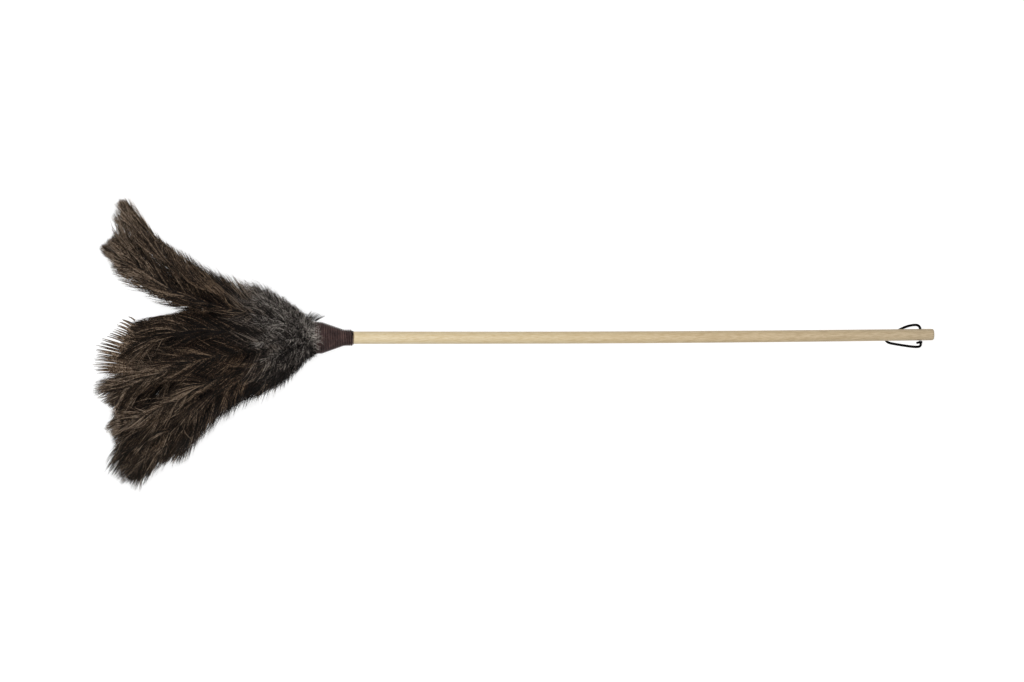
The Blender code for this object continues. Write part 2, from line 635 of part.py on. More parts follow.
def build():
    """Model the whole duster."""
    for obj in list(bpy.data.objects):
        bpy.data.objects.remove(obj, do_unlink=True)
    wood = material("dowel_wood", "DCCBA8", 0.55)
    thread = material("lacquered_thread", "33282A", 0.35)
    glue = material("amber_glue", "B5793A", 0.25)
    wire = material("tie_wire_steel", "8C8C8C", 0.40, 1.0)
    vane = material("feather_vane", "2A221C", 0.80)
    down = material("feather_down", "5A5650", 0.90)
    cord = material("black_cord", "141212", 0.70)

    duster = add_empty("duster", location=(0.0, 0.0, MOUTH_HEIGHT), turn_y=REST_TILT)
    pivot = add_empty("loop_pivot", duster, (PIVOT_REACH, 0.0, 0.0), -REST_TILT)
    make_rod(wood, duster)
    make_binding_core(thread, duster)
    make_winding(thread, duster)
    make_glue_bead(glue, duster)
    make_tie_wire("inner_tie_wire", INNER_WIRE, wire, duster)
    make_tie_wire("middle_tie_wire", MIDDLE_WIRE, wire, duster)
    make_head(vane, down, duster)
    loop = make_hang_loop(cord, pivot)
    knot = make_loop_knot(cord, pivot)
    centre_over_origin(duster, (loop, knot))


build()
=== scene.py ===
"""Ostrich feather duster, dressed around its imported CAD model.

Pieces are worked out in the handle's own frame, as in the CAD source: the origin is the centre of
the binding's mouth, X runs to the free end of the handle, and the feathers fan out towards -X.
"""

import json
from math import acos, asin, atan2, cos, exp, hypot, pi, radians, sin, tau

import bmesh
import bpy
import numpy as np
from mathutils import Matrix, Vector


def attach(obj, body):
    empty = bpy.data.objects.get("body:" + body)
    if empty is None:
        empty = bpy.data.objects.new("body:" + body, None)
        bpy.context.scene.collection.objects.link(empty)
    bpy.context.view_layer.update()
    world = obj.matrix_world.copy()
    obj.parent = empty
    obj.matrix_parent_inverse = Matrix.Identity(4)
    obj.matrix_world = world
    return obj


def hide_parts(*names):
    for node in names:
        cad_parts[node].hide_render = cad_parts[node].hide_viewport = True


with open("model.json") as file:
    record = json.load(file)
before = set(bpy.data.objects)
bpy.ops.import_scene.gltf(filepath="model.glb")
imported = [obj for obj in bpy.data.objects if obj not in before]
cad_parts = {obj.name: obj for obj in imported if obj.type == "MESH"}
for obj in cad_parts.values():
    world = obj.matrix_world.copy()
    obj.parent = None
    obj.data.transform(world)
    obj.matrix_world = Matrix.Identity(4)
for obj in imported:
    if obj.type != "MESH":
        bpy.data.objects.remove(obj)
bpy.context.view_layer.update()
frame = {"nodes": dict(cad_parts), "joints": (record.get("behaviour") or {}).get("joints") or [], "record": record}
scene = bpy.context.scene

MM = 0.001

# Sizes repeated from the CAD source
FIT_GAP = 0.3 * MM
QUILL_GAP = 0.35 * MM
ROD_RADIUS = 6.2 * MM
ROD_VISIBLE_LENGTH = 624.0 * MM
ROD_NOSE_LENGTH = 12.0 * MM
ROD_EDGE_ROUND = 1.2 * MM
HOLE_RADIUS = 2.0 * MM
HOLE_FROM_END = 14.5 * MM
QUILL_RADIUS = 0.8 * MM
WIRE_RADIUS = 0.25 * MM
TIE_WIRE_TURNS = 2
TIE_WIRE_PITCH = 1.1 * MM
TIE_WIRE_FROM_MOUTH = 2.5 * MM
THREAD_RADIUS = 0.65 * MM
THREAD_TURNS = 21
BINDING_LENGTH = 41.0 * MM
COLLAR_LENGTH = 8.0 * MM
NECK_LENGTH = 9.5 * MM
MOUTH_WALL = 1.4 * MM
NECK_WALL = 0.7 * MM
BEAD_LENGTH = 1.3 * MM
BEAD_HEIGHT = 0.9 * MM
HEAD_LENGTH = 234.5 * MM
DROOP = 50.0 * MM
DROOP_POWER = 2.2
FLAT_CUT = 1.2 * MM
NOTCH_OPENING = 52.0 * MM
NOTCH_POWER = 1.5
NOTCH_LINE = 40.0 * MM
NOTCH_LINE_POWER = 0.8
NOTCH_START_SHARE = 0.62
NOTCH_ACROSS_SHARE = 0.32
NOTCH_SEAM_SHARE = 0.012
BOTTOM_FLATNESS_SHARE = 0.95
FAN_STATION_SHARES = (0.0, 0.07, 0.14, 0.25, 0.40, 0.54, 0.62, 0.75, 0.88, 1.0)
UPPER_SPREAD = (160.0 * MM, (0.0, 0.07, 0.16, 0.32, 0.405, 0.49, 0.60, 0.80, 1.00, 1.10))
LOWER_SPREAD = (164.0 * MM, (0.0, 0.08, 0.185, 0.35, 0.49, 0.665, 0.82, 0.925, 1.01, 1.03))
CREST = (68.0 * MM, (0.0, 0.16, 0.38, 0.71, 0.93, 1.0, 0.96, 0.82, 0.63, 0.49))
INNER_RING_SHARE = 0.26
MIDDLE_RING_SHARE = 0.58
OUTER_RING_SHARE = 0.91
RING_OPEN_SHARE = 0.35
TIP_REACHES = ((-1.0, -0.8, -0.5, -0.2, 0.1, 0.31, 0.33, 0.6, 1.0),
               (0.87, 0.93, 0.985, 1.0, 0.94, 0.89, 0.975, 0.94, 0.90))
TIP_RIPPLE_SHARE = 0.018
TIP_RIPPLE_STEP = 2.4
INNER_TIP_SHARE = 0.96
VANE_THICKNESS = 4.4 * MM
DOWN_LENGTH = 71.0 * MM
DOWN_FLARE = ((0.0, 0.07, 0.16, 0.30, 0.46, 0.62, 0.82, 1.0),
              (1.0, 1.0, 1.13, 1.20, 1.18, 1.12, 1.06, 1.00))
CORD_DIAMETER = 2.7 * MM
LOOP_CURVE_STEPS = 12
LOOP_ROUTE = (
    (0.0, -0.0064, 0.0), (0.0, 0.0, 0.0), (0.0, 0.0056, 0.0), (-0.0004, 0.0075, -0.0001),
    (-0.0014, 0.0091, -0.0003), (-0.0029, 0.0101, -0.0008), (-0.0047, 0.0104, -0.0013),
    (-0.009, 0.0101, -0.0028), (-0.0145, 0.0087, -0.0046), (-0.0205, 0.0061, -0.0057),
    (-0.0265, 0.0028, -0.0059), (-0.0312, 0.0006, -0.0059), (-0.0341, -0.0008, -0.0059),
    (-0.0362, -0.0025, -0.0059), (-0.0368, -0.0046, -0.0059), (-0.0361, -0.0066, -0.0059),
    (-0.0343, -0.0081, -0.0059), (-0.032, -0.009, -0.0059), (-0.028, -0.0098, -0.0059),
    (-0.0205, -0.0111, -0.0057), (-0.0135, -0.0122, -0.0047), (-0.008, -0.0129, -0.0028),
    (-0.005, -0.0131, -0.0017), (-0.0029, -0.0131, -0.001), (-0.0012, -0.0128, -0.0004),
    (0.0, -0.0119, -0.0001), (0.0004, -0.0109, 0.0), (0.0004, -0.0098, 0.0),
)
INNER_RING = ROD_RADIUS + QUILL_GAP + QUILL_RADIUS
INNER_WIRE = INNER_RING + QUILL_RADIUS + QUILL_GAP + WIRE_RADIUS
MIDDLE_RING = INNER_WIRE + WIRE_RADIUS + QUILL_GAP + QUILL_RADIUS
MIDDLE_WIRE = MIDDLE_RING + QUILL_RADIUS + QUILL_GAP + WIRE_RADIUS
OUTER_RING = MIDDLE_WIRE + WIRE_RADIUS + QUILL_GAP + QUILL_RADIUS
BUNDLE_RADIUS = OUTER_RING + QUILL_RADIUS
MOUTH_BORE = BUNDLE_RADIUS + QUILL_GAP
ROD_BORE = ROD_RADIUS + FIT_GAP
MOUTH_RADIUS = MOUTH_BORE + MOUTH_WALL
NECK_RADIUS = ROD_BORE + NECK_WALL
NECK_START = BINDING_LENGTH - NECK_LENGTH
HANDLE_REACH = BINDING_LENGTH + ROD_VISIBLE_LENGTH

# The handle's frame in the world, from the mount on its end face
MOUNT = next(m for m in frame["record"]["mounts"] if m["name"] == "handle_end_face")
ALONG = Vector(MOUNT["axis"]).normalized()
REST_TILT = asin(-ALONG.z)
MOUTH = Vector(MOUNT["pos_m"]) - ALONG * HANDLE_REACH
MOUTH_HEIGHT = MOUTH.z
TO_WORLD = Matrix.Translation(MOUTH) @ Matrix.Rotation(REST_TILT, 4, "Y")
PIVOT = np.array(Vector(frame["joints"][0]["pos_m"]))

# Camera straight above, as the photograph was taken
CAMERA_LENS = 200.0
CAMERA_SENSOR = 36.0
VIEW_WIDTH = 1.0941
VIEW_CENTRE = (-0.0027, -0.0029)
VIEW_LEVEL = 0.030
VIEW_ROLL = radians(0.31)


def add_object(name, data):
    """Put a mesh, curve, light or camera in the scene."""
    obj = bpy.data.objects.new(name, data)
    scene.collection.objects.link(obj)
    return obj


def add_camera():
    """A long lens straight above the duster, rolled a little as in the photograph."""
    data = bpy.data.cameras.new("photo_camera")
    data.sensor_width = CAMERA_SENSOR
    data.lens = CAMERA_LENS
    data.clip_end = 50.0
    camera = add_object("photo_camera", data)
    camera.location = (*VIEW_CENTRE, VIEW_LEVEL + VIEW_WIDTH * CAMERA_LENS / CAMERA_SENSOR)
    camera.rotation_euler = (0.0, 0.0, -VIEW_ROLL)
    scene.camera = camera


def travelled(points):
    """How far along a line each of its points is."""
    pieces = np.linalg.norm(np.diff(points, axis=0), axis=1)
    return np.concatenate(([0.0], np.cumsum(pieces)))


def smooth_route(route, spacing):
    """Even points on a smooth curve through a cord's own points, and its length."""
    route = np.array(route)
    knots = np.array([2 * route[0] - route[1], *route, 2 * route[-1] - route[-2]])
    a, b, c, d = (knots[i:len(knots) - 3 + i, None] for i in range(4))
    t = np.linspace(0.0, 1.0, LOOP_CURVE_STEPS, endpoint=False)[:, None]
    fine = 0.5 * (2 * b + (c - a) * t + (2 * a - 5 * b + 4 * c - d) * t ** 2
                  + (3 * b - a - 3 * c + d) * t ** 3)
    fine = np.vstack((fine.reshape(-1, 3), route[-1]))
    along = travelled(fine)
    places = np.linspace(0.0, along[-1], round(along[-1] / spacing) + 1)
    return np.stack([np.interp(places, along, axis) for axis in fine.T], axis=1), float(along[-1])


# Looks: colours are sRGB hex, and one function adds a node with its settings and links


def colour(code):
    """Linear colour with alpha from an sRGB hex code."""
    channels = [int(code[i:i + 2], 16) / 255 for i in (0, 2, 4)]
    return (*[c / 12.92 if c <= 0.04045 else ((c + 0.055) / 1.055) ** 2.4 for c in channels], 1.0)


def node(tree, kind, output, stops=(), **settings):
    """Add a node and give one of its outputs.

    Settings name its properties, or its input sockets with _ for a space. A socket takes a value,
    a hex colour or another node's output. Stops are the (place, hex) stops of a colour ramp.
    """
    made = tree.nodes.new("ShaderNode" + kind)
    for name, value in settings.items():
        if hasattr(made, name):
            setattr(made, name, value)
            continue
        socket = next(s for s in made.inputs if s.identifier.replace(" ", "_") == name)
        if isinstance(value, bpy.types.NodeSocket):
            tree.links.new(value, socket)
        else:
            socket.default_value = colour(value) if isinstance(value, str) else value
    if stops:
        elements = made.color_ramp.elements
        while len(elements) < len(stops):
            elements.new(0.5)
        for element, (place, code) in zip(elements, stops):
            element.position = place
            element.color = colour(code)
    return next(s for s in made.outputs if s.identifier == output)


def new_surface(name, **sockets):
    """A principled material with its even values set on its own sockets."""
    made = bpy.data.materials.new(name)
    made.use_nodes = True
    for key, value in sockets.items():
        shader = made.node_tree.nodes["Principled BSDF"]
        shader.inputs[key.replace("_", " ")].default_value = value
    return made, made.node_tree


def dressed(made, **links):
    """The same material, with outputs led to its shader's sockets."""
    shader = made.node_tree.nodes["Principled BSDF"]
    for name, source in links.items():
        made.node_tree.links.new(source, shader.inputs[name.replace("_", " ")])
    return made


def bare_hardwood():
    """Sanded, unvarnished dowel: pale, with fine grain along it and darker towards the free end.

    The grain lines are 0.6 mm apart and some 60 mm long. They lie over bands 4 mm apart, with
    flecks 3 mm long.
    """
    made, tree = new_surface("bare_hardwood", Specular_IOR_Level=0.35)
    place = node(tree, "TexCoord", "Object")
    grain_place, band_place, fleck_place = (
        node(tree, "Mapping", "Vector", Vector=place, Scale=(lengthwise, across, across),
             Rotation=(0.0, -REST_TILT, 0.0))
        for lengthwise, across in ((16.0, 1600.0), (5.0, 260.0), (330.0, 2200.0))
    )
    grain = node(tree, "TexNoise", "Fac", Vector=grain_place, Scale=1.0, Detail=4.0, Roughness=0.6)
    bands = node(tree, "TexNoise", "Fac", Vector=band_place, Scale=1.0, Detail=2.0)
    flecks = node(tree, "TexVoronoi", "Distance", Vector=fleck_place, Scale=1.0)
    x = node(tree, "SeparateXYZ", "X", Vector=place)
    along = node(tree, "MapRange", "Result", Value=x, From_Min=-0.17, From_Max=0.45)
    pale = node(tree, "ValToRGB", "Color", Fac=along, stops=(
        (0.0, "D3C4A4"), (0.35, "CAB996"), (0.7, "C4B08E"), (1.0, "BDAB8D"),
    ))
    dark = node(tree, "ValToRGB", "Color", Fac=along, stops=(
        (0.0, "BFA97F"), (0.5, "B19972"), (1.0, "998567"),
    ))
    lines = node(tree, "MapRange", "Result", Value=grain, From_Min=0.42, From_Max=0.68)
    broad = node(tree, "MapRange", "Result", Value=bands, From_Min=0.5, From_Max=0.75, To_Max=0.45)
    specks = node(tree, "MapRange", "Result", Value=flecks, From_Max=0.16, To_Min=0.35, To_Max=0.0)
    wood = pale
    for share, kind, stain in ((lines, "MIX", dark), (broad, "MIX", dark),
                               (specks, "MULTIPLY", "A08662")):
        wood = node(tree, "Mix", "Result_Color", data_type="RGBA", blend_type=kind,
                    Factor_Float=share, A_Color=wood, B_Color=stain)
    sheen = node(tree, "MapRange", "Result", Value=grain, From_Min=0.3, From_Max=0.7,
                 To_Min=0.48, To_Max=0.62)
    relief = node(tree, "Bump", "Normal", Height=grain, Strength=0.25, Distance=0.15 * MM)
    return dressed(made, Base_Color=wood, Roughness=sheen, Normal=relief)


def lacquered_thread():
    """Twisted cotton under a dark lacquer: brown-black, its raised plies a little worn and glossy.

    Blotches of lacquer are some 7 mm wide, and the cotton's fibre 0.4 mm.
    """
    made, tree = new_surface("lacquered_cotton", Coat_Weight=0.06, Coat_Roughness=0.3,
                             Specular_IOR_Level=0.2)
    place = node(tree, "TexCoord", "Object")
    blotch = node(tree, "TexNoise", "Fac", Vector=place, Scale=140.0, Detail=3.0)
    fibre = node(tree, "TexNoise", "Fac", Vector=place, Scale=2600.0, Detail=2.0)
    base = node(tree, "ValToRGB", "Color", Fac=blotch, stops=(
        (0.3, "2B1E1D"), (0.5, "41302E"), (0.72, "5C4743"),
    ))
    worn = node(tree, "MapRange", "Result", Value=fibre, From_Min=0.45, From_Max=0.8, To_Max=0.5)
    lacquer = node(tree, "Mix", "Result_Color", data_type="RGBA", Factor_Float=worn, A_Color=base,
                   B_Color="66504D")
    sheen = node(tree, "MapRange", "Result", Value=blotch, From_Min=0.3, From_Max=0.7,
                 To_Min=0.30, To_Max=0.5)
    relief = node(tree, "Bump", "Normal", Height=fibre, Strength=0.4, Distance=0.08 * MM)
    return dressed(made, Base_Color=lacquer, Roughness=sheen, Normal=relief)


def soaked_cotton():
    """The inner layers of cotton under the turns, painted near black as the shade in the gaps between them.

    Its blotches are some 3 mm wide.
    """
    made, tree = new_surface("soaked_cotton", Specular_IOR_Level=0.1, Roughness=0.8)
    place = node(tree, "TexCoord", "Object")
    blotch = node(tree, "TexNoise", "Fac", Vector=place, Scale=300.0, Detail=2.0)
    # Painted shade: near-black cotton, so that the gaps between the turns look shaded
    soaked = node(tree, "ValToRGB", "Color", Fac=blotch, stops=((0.3, "080505"), (0.7, "170F0E")))
    return dressed(made, Base_Color=soaked)


def amber_glue():
    """Set hide glue: brown amber, glossy, darker where it is thick, with clouds 2.4 mm wide."""
    made, tree = new_surface(
        "hide_glue", Coat_Weight=0.6, Coat_Roughness=0.12, IOR=1.52, Subsurface_Weight=0.15,
        Subsurface_Radius=(0.0012, 0.0006, 0.0002),
    )
    place = node(tree, "TexCoord", "Object")
    cloud = node(tree, "TexNoise", "Fac", Vector=place, Scale=420.0, Detail=3.0)
    amber = node(tree, "ValToRGB", "Color", Fac=cloud, stops=(
        (0.3, "36200C"), (0.55, "64401A"), (0.8, "94682F"),
    ))
    sheen = node(tree, "MapRange", "Result", Value=cloud, From_Min=0.3, From_Max=0.7,
                 To_Min=0.2, To_Max=0.4)
    return dressed(made, Base_Color=amber, Roughness=sheen)


def drawn_wire():
    """Bare drawn steel wire, dull, with draw marks along it, a third of a millimetre apart."""
    made, tree = new_surface("drawn_steel", Metallic=1.0)
    place = node(tree, "TexCoord", "Object")
    marks = node(tree, "TexNoise", "Fac", Vector=place, Scale=3000.0, Detail=2.0)
    steel = node(tree, "ValToRGB", "Color", Fac=marks, stops=((0.3, "6E6C68"), (0.7, "9A9893")))
    sheen = node(tree, "MapRange", "Result", Value=marks, From_Min=0.3, From_Max=0.7,
                 To_Min=0.35, To_Max=0.55)
    return dressed(made, Base_Color=steel, Roughness=sheen)


def waxed_cord():
    """Black waxed cotton cord: round, with a diagonal lay 1.5 mm long and fuzz of 0.4 mm."""
    made, tree = new_surface("waxed_cotton", Specular_IOR_Level=0.05)
    place = node(tree, "TexCoord", "Object")
    lay = node(tree, "TexWave", "Fac", wave_type="BANDS", bands_direction="DIAGONAL",
               Vector=place, Scale=420.0, Distortion=1.5)
    fuzz = node(tree, "TexNoise", "Fac", Vector=place, Scale=2400.0, Detail=3.0)
    base = node(tree, "ValToRGB", "Color", Fac=lay, stops=((0.1, "020202"), (0.8, "080808")))
    worn = node(tree, "MapRange", "Result", Value=fuzz, From_Min=0.55, From_Max=0.8, To_Max=0.5)
    cotton = node(tree, "Mix", "Result_Color", data_type="RGBA", Factor_Float=worn, A_Color=base,
                  B_Color="1C1B1A")
    sheen = node(tree, "MapRange", "Result", Value=fuzz, From_Min=0.3, From_Max=0.7,
                 To_Min=0.7, To_Max=0.9)
    relief = node(tree, "Bump", "Normal", Height=lay, Strength=0.6, Distance=0.12 * MM)
    return dressed(made, Base_Color=cotton, Roughness=sheen, Normal=relief)


def ostrich_plume(name, root_light):
    """Ostrich barbs: grey down at the root, near black in the middle, brown at the tips.

    Each strand carries three values: tone, its own lightness; along, 0 at its base and 1 at its
    end; reach, how far its base lies along the head. Each strand is painted darker towards its
    base, as painted shade where strands lie over each other. Barbules, some 1.6 mm apart, make
    the barbs matt and soft.
    """
    made, tree = new_surface(name, Specular_IOR_Level=0.1)
    own_tone, along, reach = (
        node(tree, "Attribute", "Fac", attribute_name=key) for key in ("tone", "along", "reach")
    )
    place = node(tree, "TexCoord", "Object")
    barbules = node(tree, "TexNoise", "Fac", Vector=place, Scale=620.0, Detail=1.5)
    uneven = node(tree, "MapRange", "Result", Value=barbules, From_Min=0.3, From_Max=0.7,
                  To_Min=-0.30, To_Max=0.30)
    tone = node(tree, "Math", "Value", operation="ADD", Value=own_tone, Value_001=uneven)
    root, middle, tip = (node(tree, "ValToRGB", "Color", Fac=tone, stops=stops) for stops in (
        ((0.0, "050404"), (0.4, "221E1C"), (0.7, "6A635E"), (1.0, root_light)),
        ((0.0, "030202"), (0.5, "1C140F"), (0.8, "4A3A2D"), (1.0, "8C7762")),
        ((0.0, "070503"), (0.4, "2D2219"), (0.7, "6B5A4A"), (1.0, "B29E8A")),
    ))
    past_root = node(tree, "MapRange", "Result", Value=reach, From_Min=0.15, From_Max=0.34)
    past_middle = node(tree, "MapRange", "Result", Value=reach, From_Min=0.5, From_Max=0.8)
    # Painted shade: each strand darkens towards near black at its base, fading out by 0.6 of its length, for the
    # shade where strands overlap
    shade = node(tree, "MapRange", "Result", Value=along, From_Max=0.6, To_Min=0.85, To_Max=0.0)
    barb = root
    for share, second in ((past_root, middle), (past_middle, tip), (shade, "080706")):
        barb = node(tree, "Mix", "Result_Color", data_type="RGBA", Factor_Float=share,
                    A_Color=barb, B_Color=second)
    sheen = node(tree, "MapRange", "Result", Value=tone, To_Min=0.5, To_Max=0.7)
    return dressed(made, Base_Color=barb, Roughness=sheen)


# Making pieces


def carried(obj, body, surface, replaced):
    """Give a piece its material and its body, and hide the CAD node that it stands for."""
    obj.data.materials.append(surface)
    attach(obj, body)
    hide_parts(replaced)


def mesh_from(name, bm):
    """Finish a bmesh given in the handle's frame: merged, facing out, smooth, in the world."""
    bmesh.ops.remove_doubles(bm, verts=bm.verts, dist=0.002 * MM)
    bmesh.ops.recalc_face_normals(bm, faces=bm.faces)
    if bm.calc_volume(signed=True) < 0.0:
        bmesh.ops.reverse_faces(bm, faces=bm.faces)
    bmesh.ops.transform(bm, matrix=TO_WORLD, verts=bm.verts)
    mesh = bpy.data.meshes.new(name)
    bm.to_mesh(mesh)
    bm.free()
    mesh.shade_smooth()
    mesh.set_sharp_from_angle(angle=radians(50.0))
    return mesh


def turned(profile, sides, closed):
    """Spin a profile of (x, radius) points about the X axis."""
    bm = bmesh.new()
    line = [bm.verts.new((x, 0.0, radius)) for x, radius in profile]
    edges = [bm.edges.new(pair) for pair in zip(line, line[1:])]
    if closed:
        edges.append(bm.edges.new((line[-1], line[0])))
    bmesh.ops.spin(
        bm, geom=line + edges, cent=(0.0, 0.0, 0.0), axis=(1.0, 0.0, 0.0),
        angle=tau, steps=sides, use_merge=True,
    )
    return bm


def settled(obj):
    """Replace an object's curve or modified mesh by the mesh that it shows, shaded smooth."""
    graph = bpy.context.evaluated_depsgraph_get()
    graph.update()
    mesh = bpy.data.meshes.new_from_object(obj.evaluated_get(graph), depsgraph=graph)
    name = obj.name
    bpy.data.objects.remove(obj, do_unlink=True)
    mesh.name = name
    mesh.shade_smooth()
    return add_object(name, mesh)


def tubes(name, lines, radius, resolution=0, capped=True):
    """One curve object with a tube for each line: (points, relative radius or radii)."""
    curve = bpy.data.curves.new(name, "CURVE")
    curve.dimensions = "3D"
    curve.bevel_depth = radius
    curve.bevel_resolution = resolution
    curve.use_fill_caps = capped
    for points, radii in lines:
        spline = curve.splines.new("POLY")
        spline.points.add(len(points) - 1)
        spline.points.foreach_set("co", np.c_[points, np.ones(len(points))].ravel())
        spline.points.foreach_set("radius", np.zeros(len(points)) + radii)
    return add_object(name, curve)


def to_world(points):
    """Points of the handle's frame in the world."""
    turn = np.array(TO_WORLD.to_3x3())
    return np.asarray(points) @ turn.T + np.array(TO_WORLD.translation)


def unit(vectors):
    """The directions of vectors, each of length one."""
    return vectors / np.linalg.norm(vectors, axis=1)[:, None]


# Handle

ROD_NECK_RADIUS = 6.60 * MM
ROD_END_RADIUS = 6.15 * MM
ROD_END_ROUND = 1.9 * MM
ROD_BOW = 1.2 * MM
EDGE_STEPS = 6
HOLE_PLACE = HANDLE_REACH - HOLE_FROM_END
ROD_STATIONS = [*np.linspace(20.0 * MM, HANDLE_REACH - 30.0 * MM, 24),
                *(HOLE_PLACE + step * MM for step in (-6, -4, 4, 6))]


def rounded_edge(end, radius, edge_round, facing):
    """Profile points from an end face, which faces along X (1) or against it (-1), to the side."""
    return [(end - facing * edge_round * (1 - cos(turn)),
             radius - edge_round * (1 - sin(turn)))
            for turn in np.linspace(0.0, pi / 2, EDGE_STEPS + 1)]


def make_handle(surface):
    """The dowel: rounded edges, a drilled cross hole, a slight bow, thinner to its free end."""
    radii = np.interp(ROD_STATIONS, (BINDING_LENGTH, HANDLE_REACH),
                      (ROD_NECK_RADIUS, ROD_END_RADIUS))
    bm = turned([
        (-ROD_NOSE_LENGTH, 0.0),
        *rounded_edge(-ROD_NOSE_LENGTH, ROD_NECK_RADIUS, ROD_EDGE_ROUND, -1),
        *zip(ROD_STATIONS, radii),
        *reversed(rounded_edge(HANDLE_REACH, ROD_END_RADIUS, ROD_END_ROUND, 1)),
        (HANDLE_REACH, 0.0),
    ], sides=96, closed=False)
    for vertex in bm.verts:
        free = min(max((vertex.co.x - BINDING_LENGTH) / ROD_VISIBLE_LENGTH, 0.0), 1.0)
        vertex.co.y -= ROD_BOW * sin(pi * free)
    rod = add_object("handle", mesh_from("handle", bm))
    bm = bmesh.new()
    bmesh.ops.create_cone(
        bm, cap_ends=True, segments=40, radius1=HOLE_RADIUS, radius2=HOLE_RADIUS,
        depth=6 * ROD_RADIUS,
        matrix=Matrix.Translation((HOLE_PLACE, 0.0, 0.0)) @ Matrix.Rotation(pi / 2, 4, "X"),
    )
    drill = add_object("hole_drill", mesh_from("hole_drill", bm))
    cut = rod.modifiers.new("cross_hole", "BOOLEAN")
    cut.operation = "DIFFERENCE"
    cut.solver = "EXACT"
    cut.object = drill
    rod = settled(rod)
    bpy.data.objects.remove(drill, do_unlink=True)
    rod.data.set_sharp_from_angle(angle=radians(40.0))
    carried(rod, "duster", surface, "handle_rod")


# Binding: the bead's swells are (share of its size, waves round it, phase)

PLY_RADIUS = 0.44 * MM
PLY_OFFSET = 0.34 * MM
PLY_TWIST = 3.4 * MM
PLY_POINTS_PER_TURN = 130
WIRE_POINTS_PER_TURN = 64
BEAD_STEPS = 6
BEAD_SHOULDER = 0.6
BEAD_SWELLS = ((0.10, 3, 1.0), (0.07, 7, 0.0))


def winding_line(share):
    """The middle of the visible thread, evenly spaced along collar, taper and neck."""
    seat = FIT_GAP + THREAD_RADIUS
    slant = hypot(NECK_START - COLLAR_LENGTH, MOUTH_RADIUS - NECK_RADIUS)
    tilted_seat = seat * slant / (NECK_START - COLLAR_LENGTH)
    places = (THREAD_RADIUS, COLLAR_LENGTH, NECK_START, BINDING_LENGTH - THREAD_RADIUS)
    radii = (MOUTH_RADIUS + seat, MOUTH_RADIUS + tilted_seat, NECK_RADIUS + tilted_seat,
             NECK_RADIUS + seat)
    lengths = travelled(np.c_[places, radii])
    along = share * lengths[-1]
    return np.interp(along, lengths, places), np.interp(along, lengths, radii)


def make_thread(surface):
    """The visible thread, wound on in one coil: two plies that twist round each other."""
    share = np.linspace(0.0, 1.0, THREAD_TURNS * PLY_POINTS_PER_TURN + 1)
    x, radius = winding_line(share)
    radius = radius - (PLY_RADIUS + PLY_OFFSET - THREAD_RADIUS)
    angle = tau * THREAD_TURNS * share
    across, up = np.sin(angle), np.cos(angle)
    middle = np.c_[x, radius * across, radius * up]
    outward = np.c_[np.zeros_like(x), across, up]
    side = unit(np.cross(unit(np.gradient(middle, axis=0)), outward))
    twists = tau * travelled(middle)[:, None] / PLY_TWIST
    lines = []
    for twist in (twists, twists + pi):
        points = middle + PLY_OFFSET * (np.cos(twist) * side + np.sin(twist) * outward)
        lines.append((to_world(points), 1.0))
    winding = settled(tubes("binding_thread", lines, PLY_RADIUS, 1))
    carried(winding, "duster", surface, "binding_winding")


def make_tie_wire(name, ring, surface):
    """The turns of wire that tie one ring of quills."""
    share = np.linspace(0.0, 1.0, TIE_WIRE_TURNS * WIRE_POINTS_PER_TURN + 1)
    angle = tau * TIE_WIRE_TURNS * share
    points = np.c_[TIE_WIRE_FROM_MOUTH + TIE_WIRE_TURNS * TIE_WIRE_PITCH * share,
                   ring * np.sin(angle), ring * np.cos(angle)]
    coil = settled(tubes(f"fine_{name}", [(to_world(points), 1.0)], WIRE_RADIUS, 2))
    carried(coil, "duster", surface, name)


def make_bead(surface):
    """The ring of glue where the winding ends, uneven all round."""
    start = BINDING_LENGTH + FIT_GAP
    bm = turned([(start, ROD_BORE)] + [
        (start + BEAD_SHOULDER * BEAD_LENGTH * sin(turn),
         ROD_BORE + BEAD_HEIGHT * cos(turn))
        for turn in np.linspace(0.0, pi / 2, BEAD_STEPS + 1)
    ], sides=72, closed=True)
    for vertex in bm.verts:
        around = atan2(vertex.co.y, vertex.co.z)
        swell = sum(size * sin(waves * around + phase) for size, waves, phase in BEAD_SWELLS)
        past = hypot(vertex.co.y, vertex.co.z) - ROD_BORE
        vertex.co.x += (vertex.co.x - start) * swell * 2
        vertex.co.yz *= 1.0 + swell * past / ROD_BORE
    bead = add_object("glue_ring", mesh_from("glue_ring", bm))
    carried(bead, "duster", surface, "glue_bead")


def make_binding(thread, shaded_layers, wire, glue):
    """The core, the thread wound over it, the tie wires inside and the ring of glue."""
    core = frame["nodes"]["binding_core"]
    core.data.materials.clear()
    # The core takes the near-black painted shade that shows in the gaps between the turns
    core.data.materials.append(shaded_layers)
    make_thread(thread)
    make_tie_wire("inner_tie_wire", INNER_WIRE, wire)
    make_tie_wire("middle_tie_wire", MIDDLE_WIRE, wire)
    make_bead(glue)


# Hanging loop

KNOT_TURNS = 2
KNOT_RING = 1.30 * MM
KNOT_STRAND = 0.95 * MM
KNOT_MIDDLE_SWELL = 1.15
TAIL_LENGTH = 4.4 * MM
TAIL_TILT = radians(12.0)
TAIL_BELOW_TOP = 1.25 * MM
TAIL_SAG = 0.3 * MM
TAIL_SWAY = 0.5 * MM
TAIL_SWAY_ANGLE = 2.2
TAIL_TAPER = ((0.0, 0.85, 0.95, 1.0), (0.85, 0.9, 0.8, 0.5))


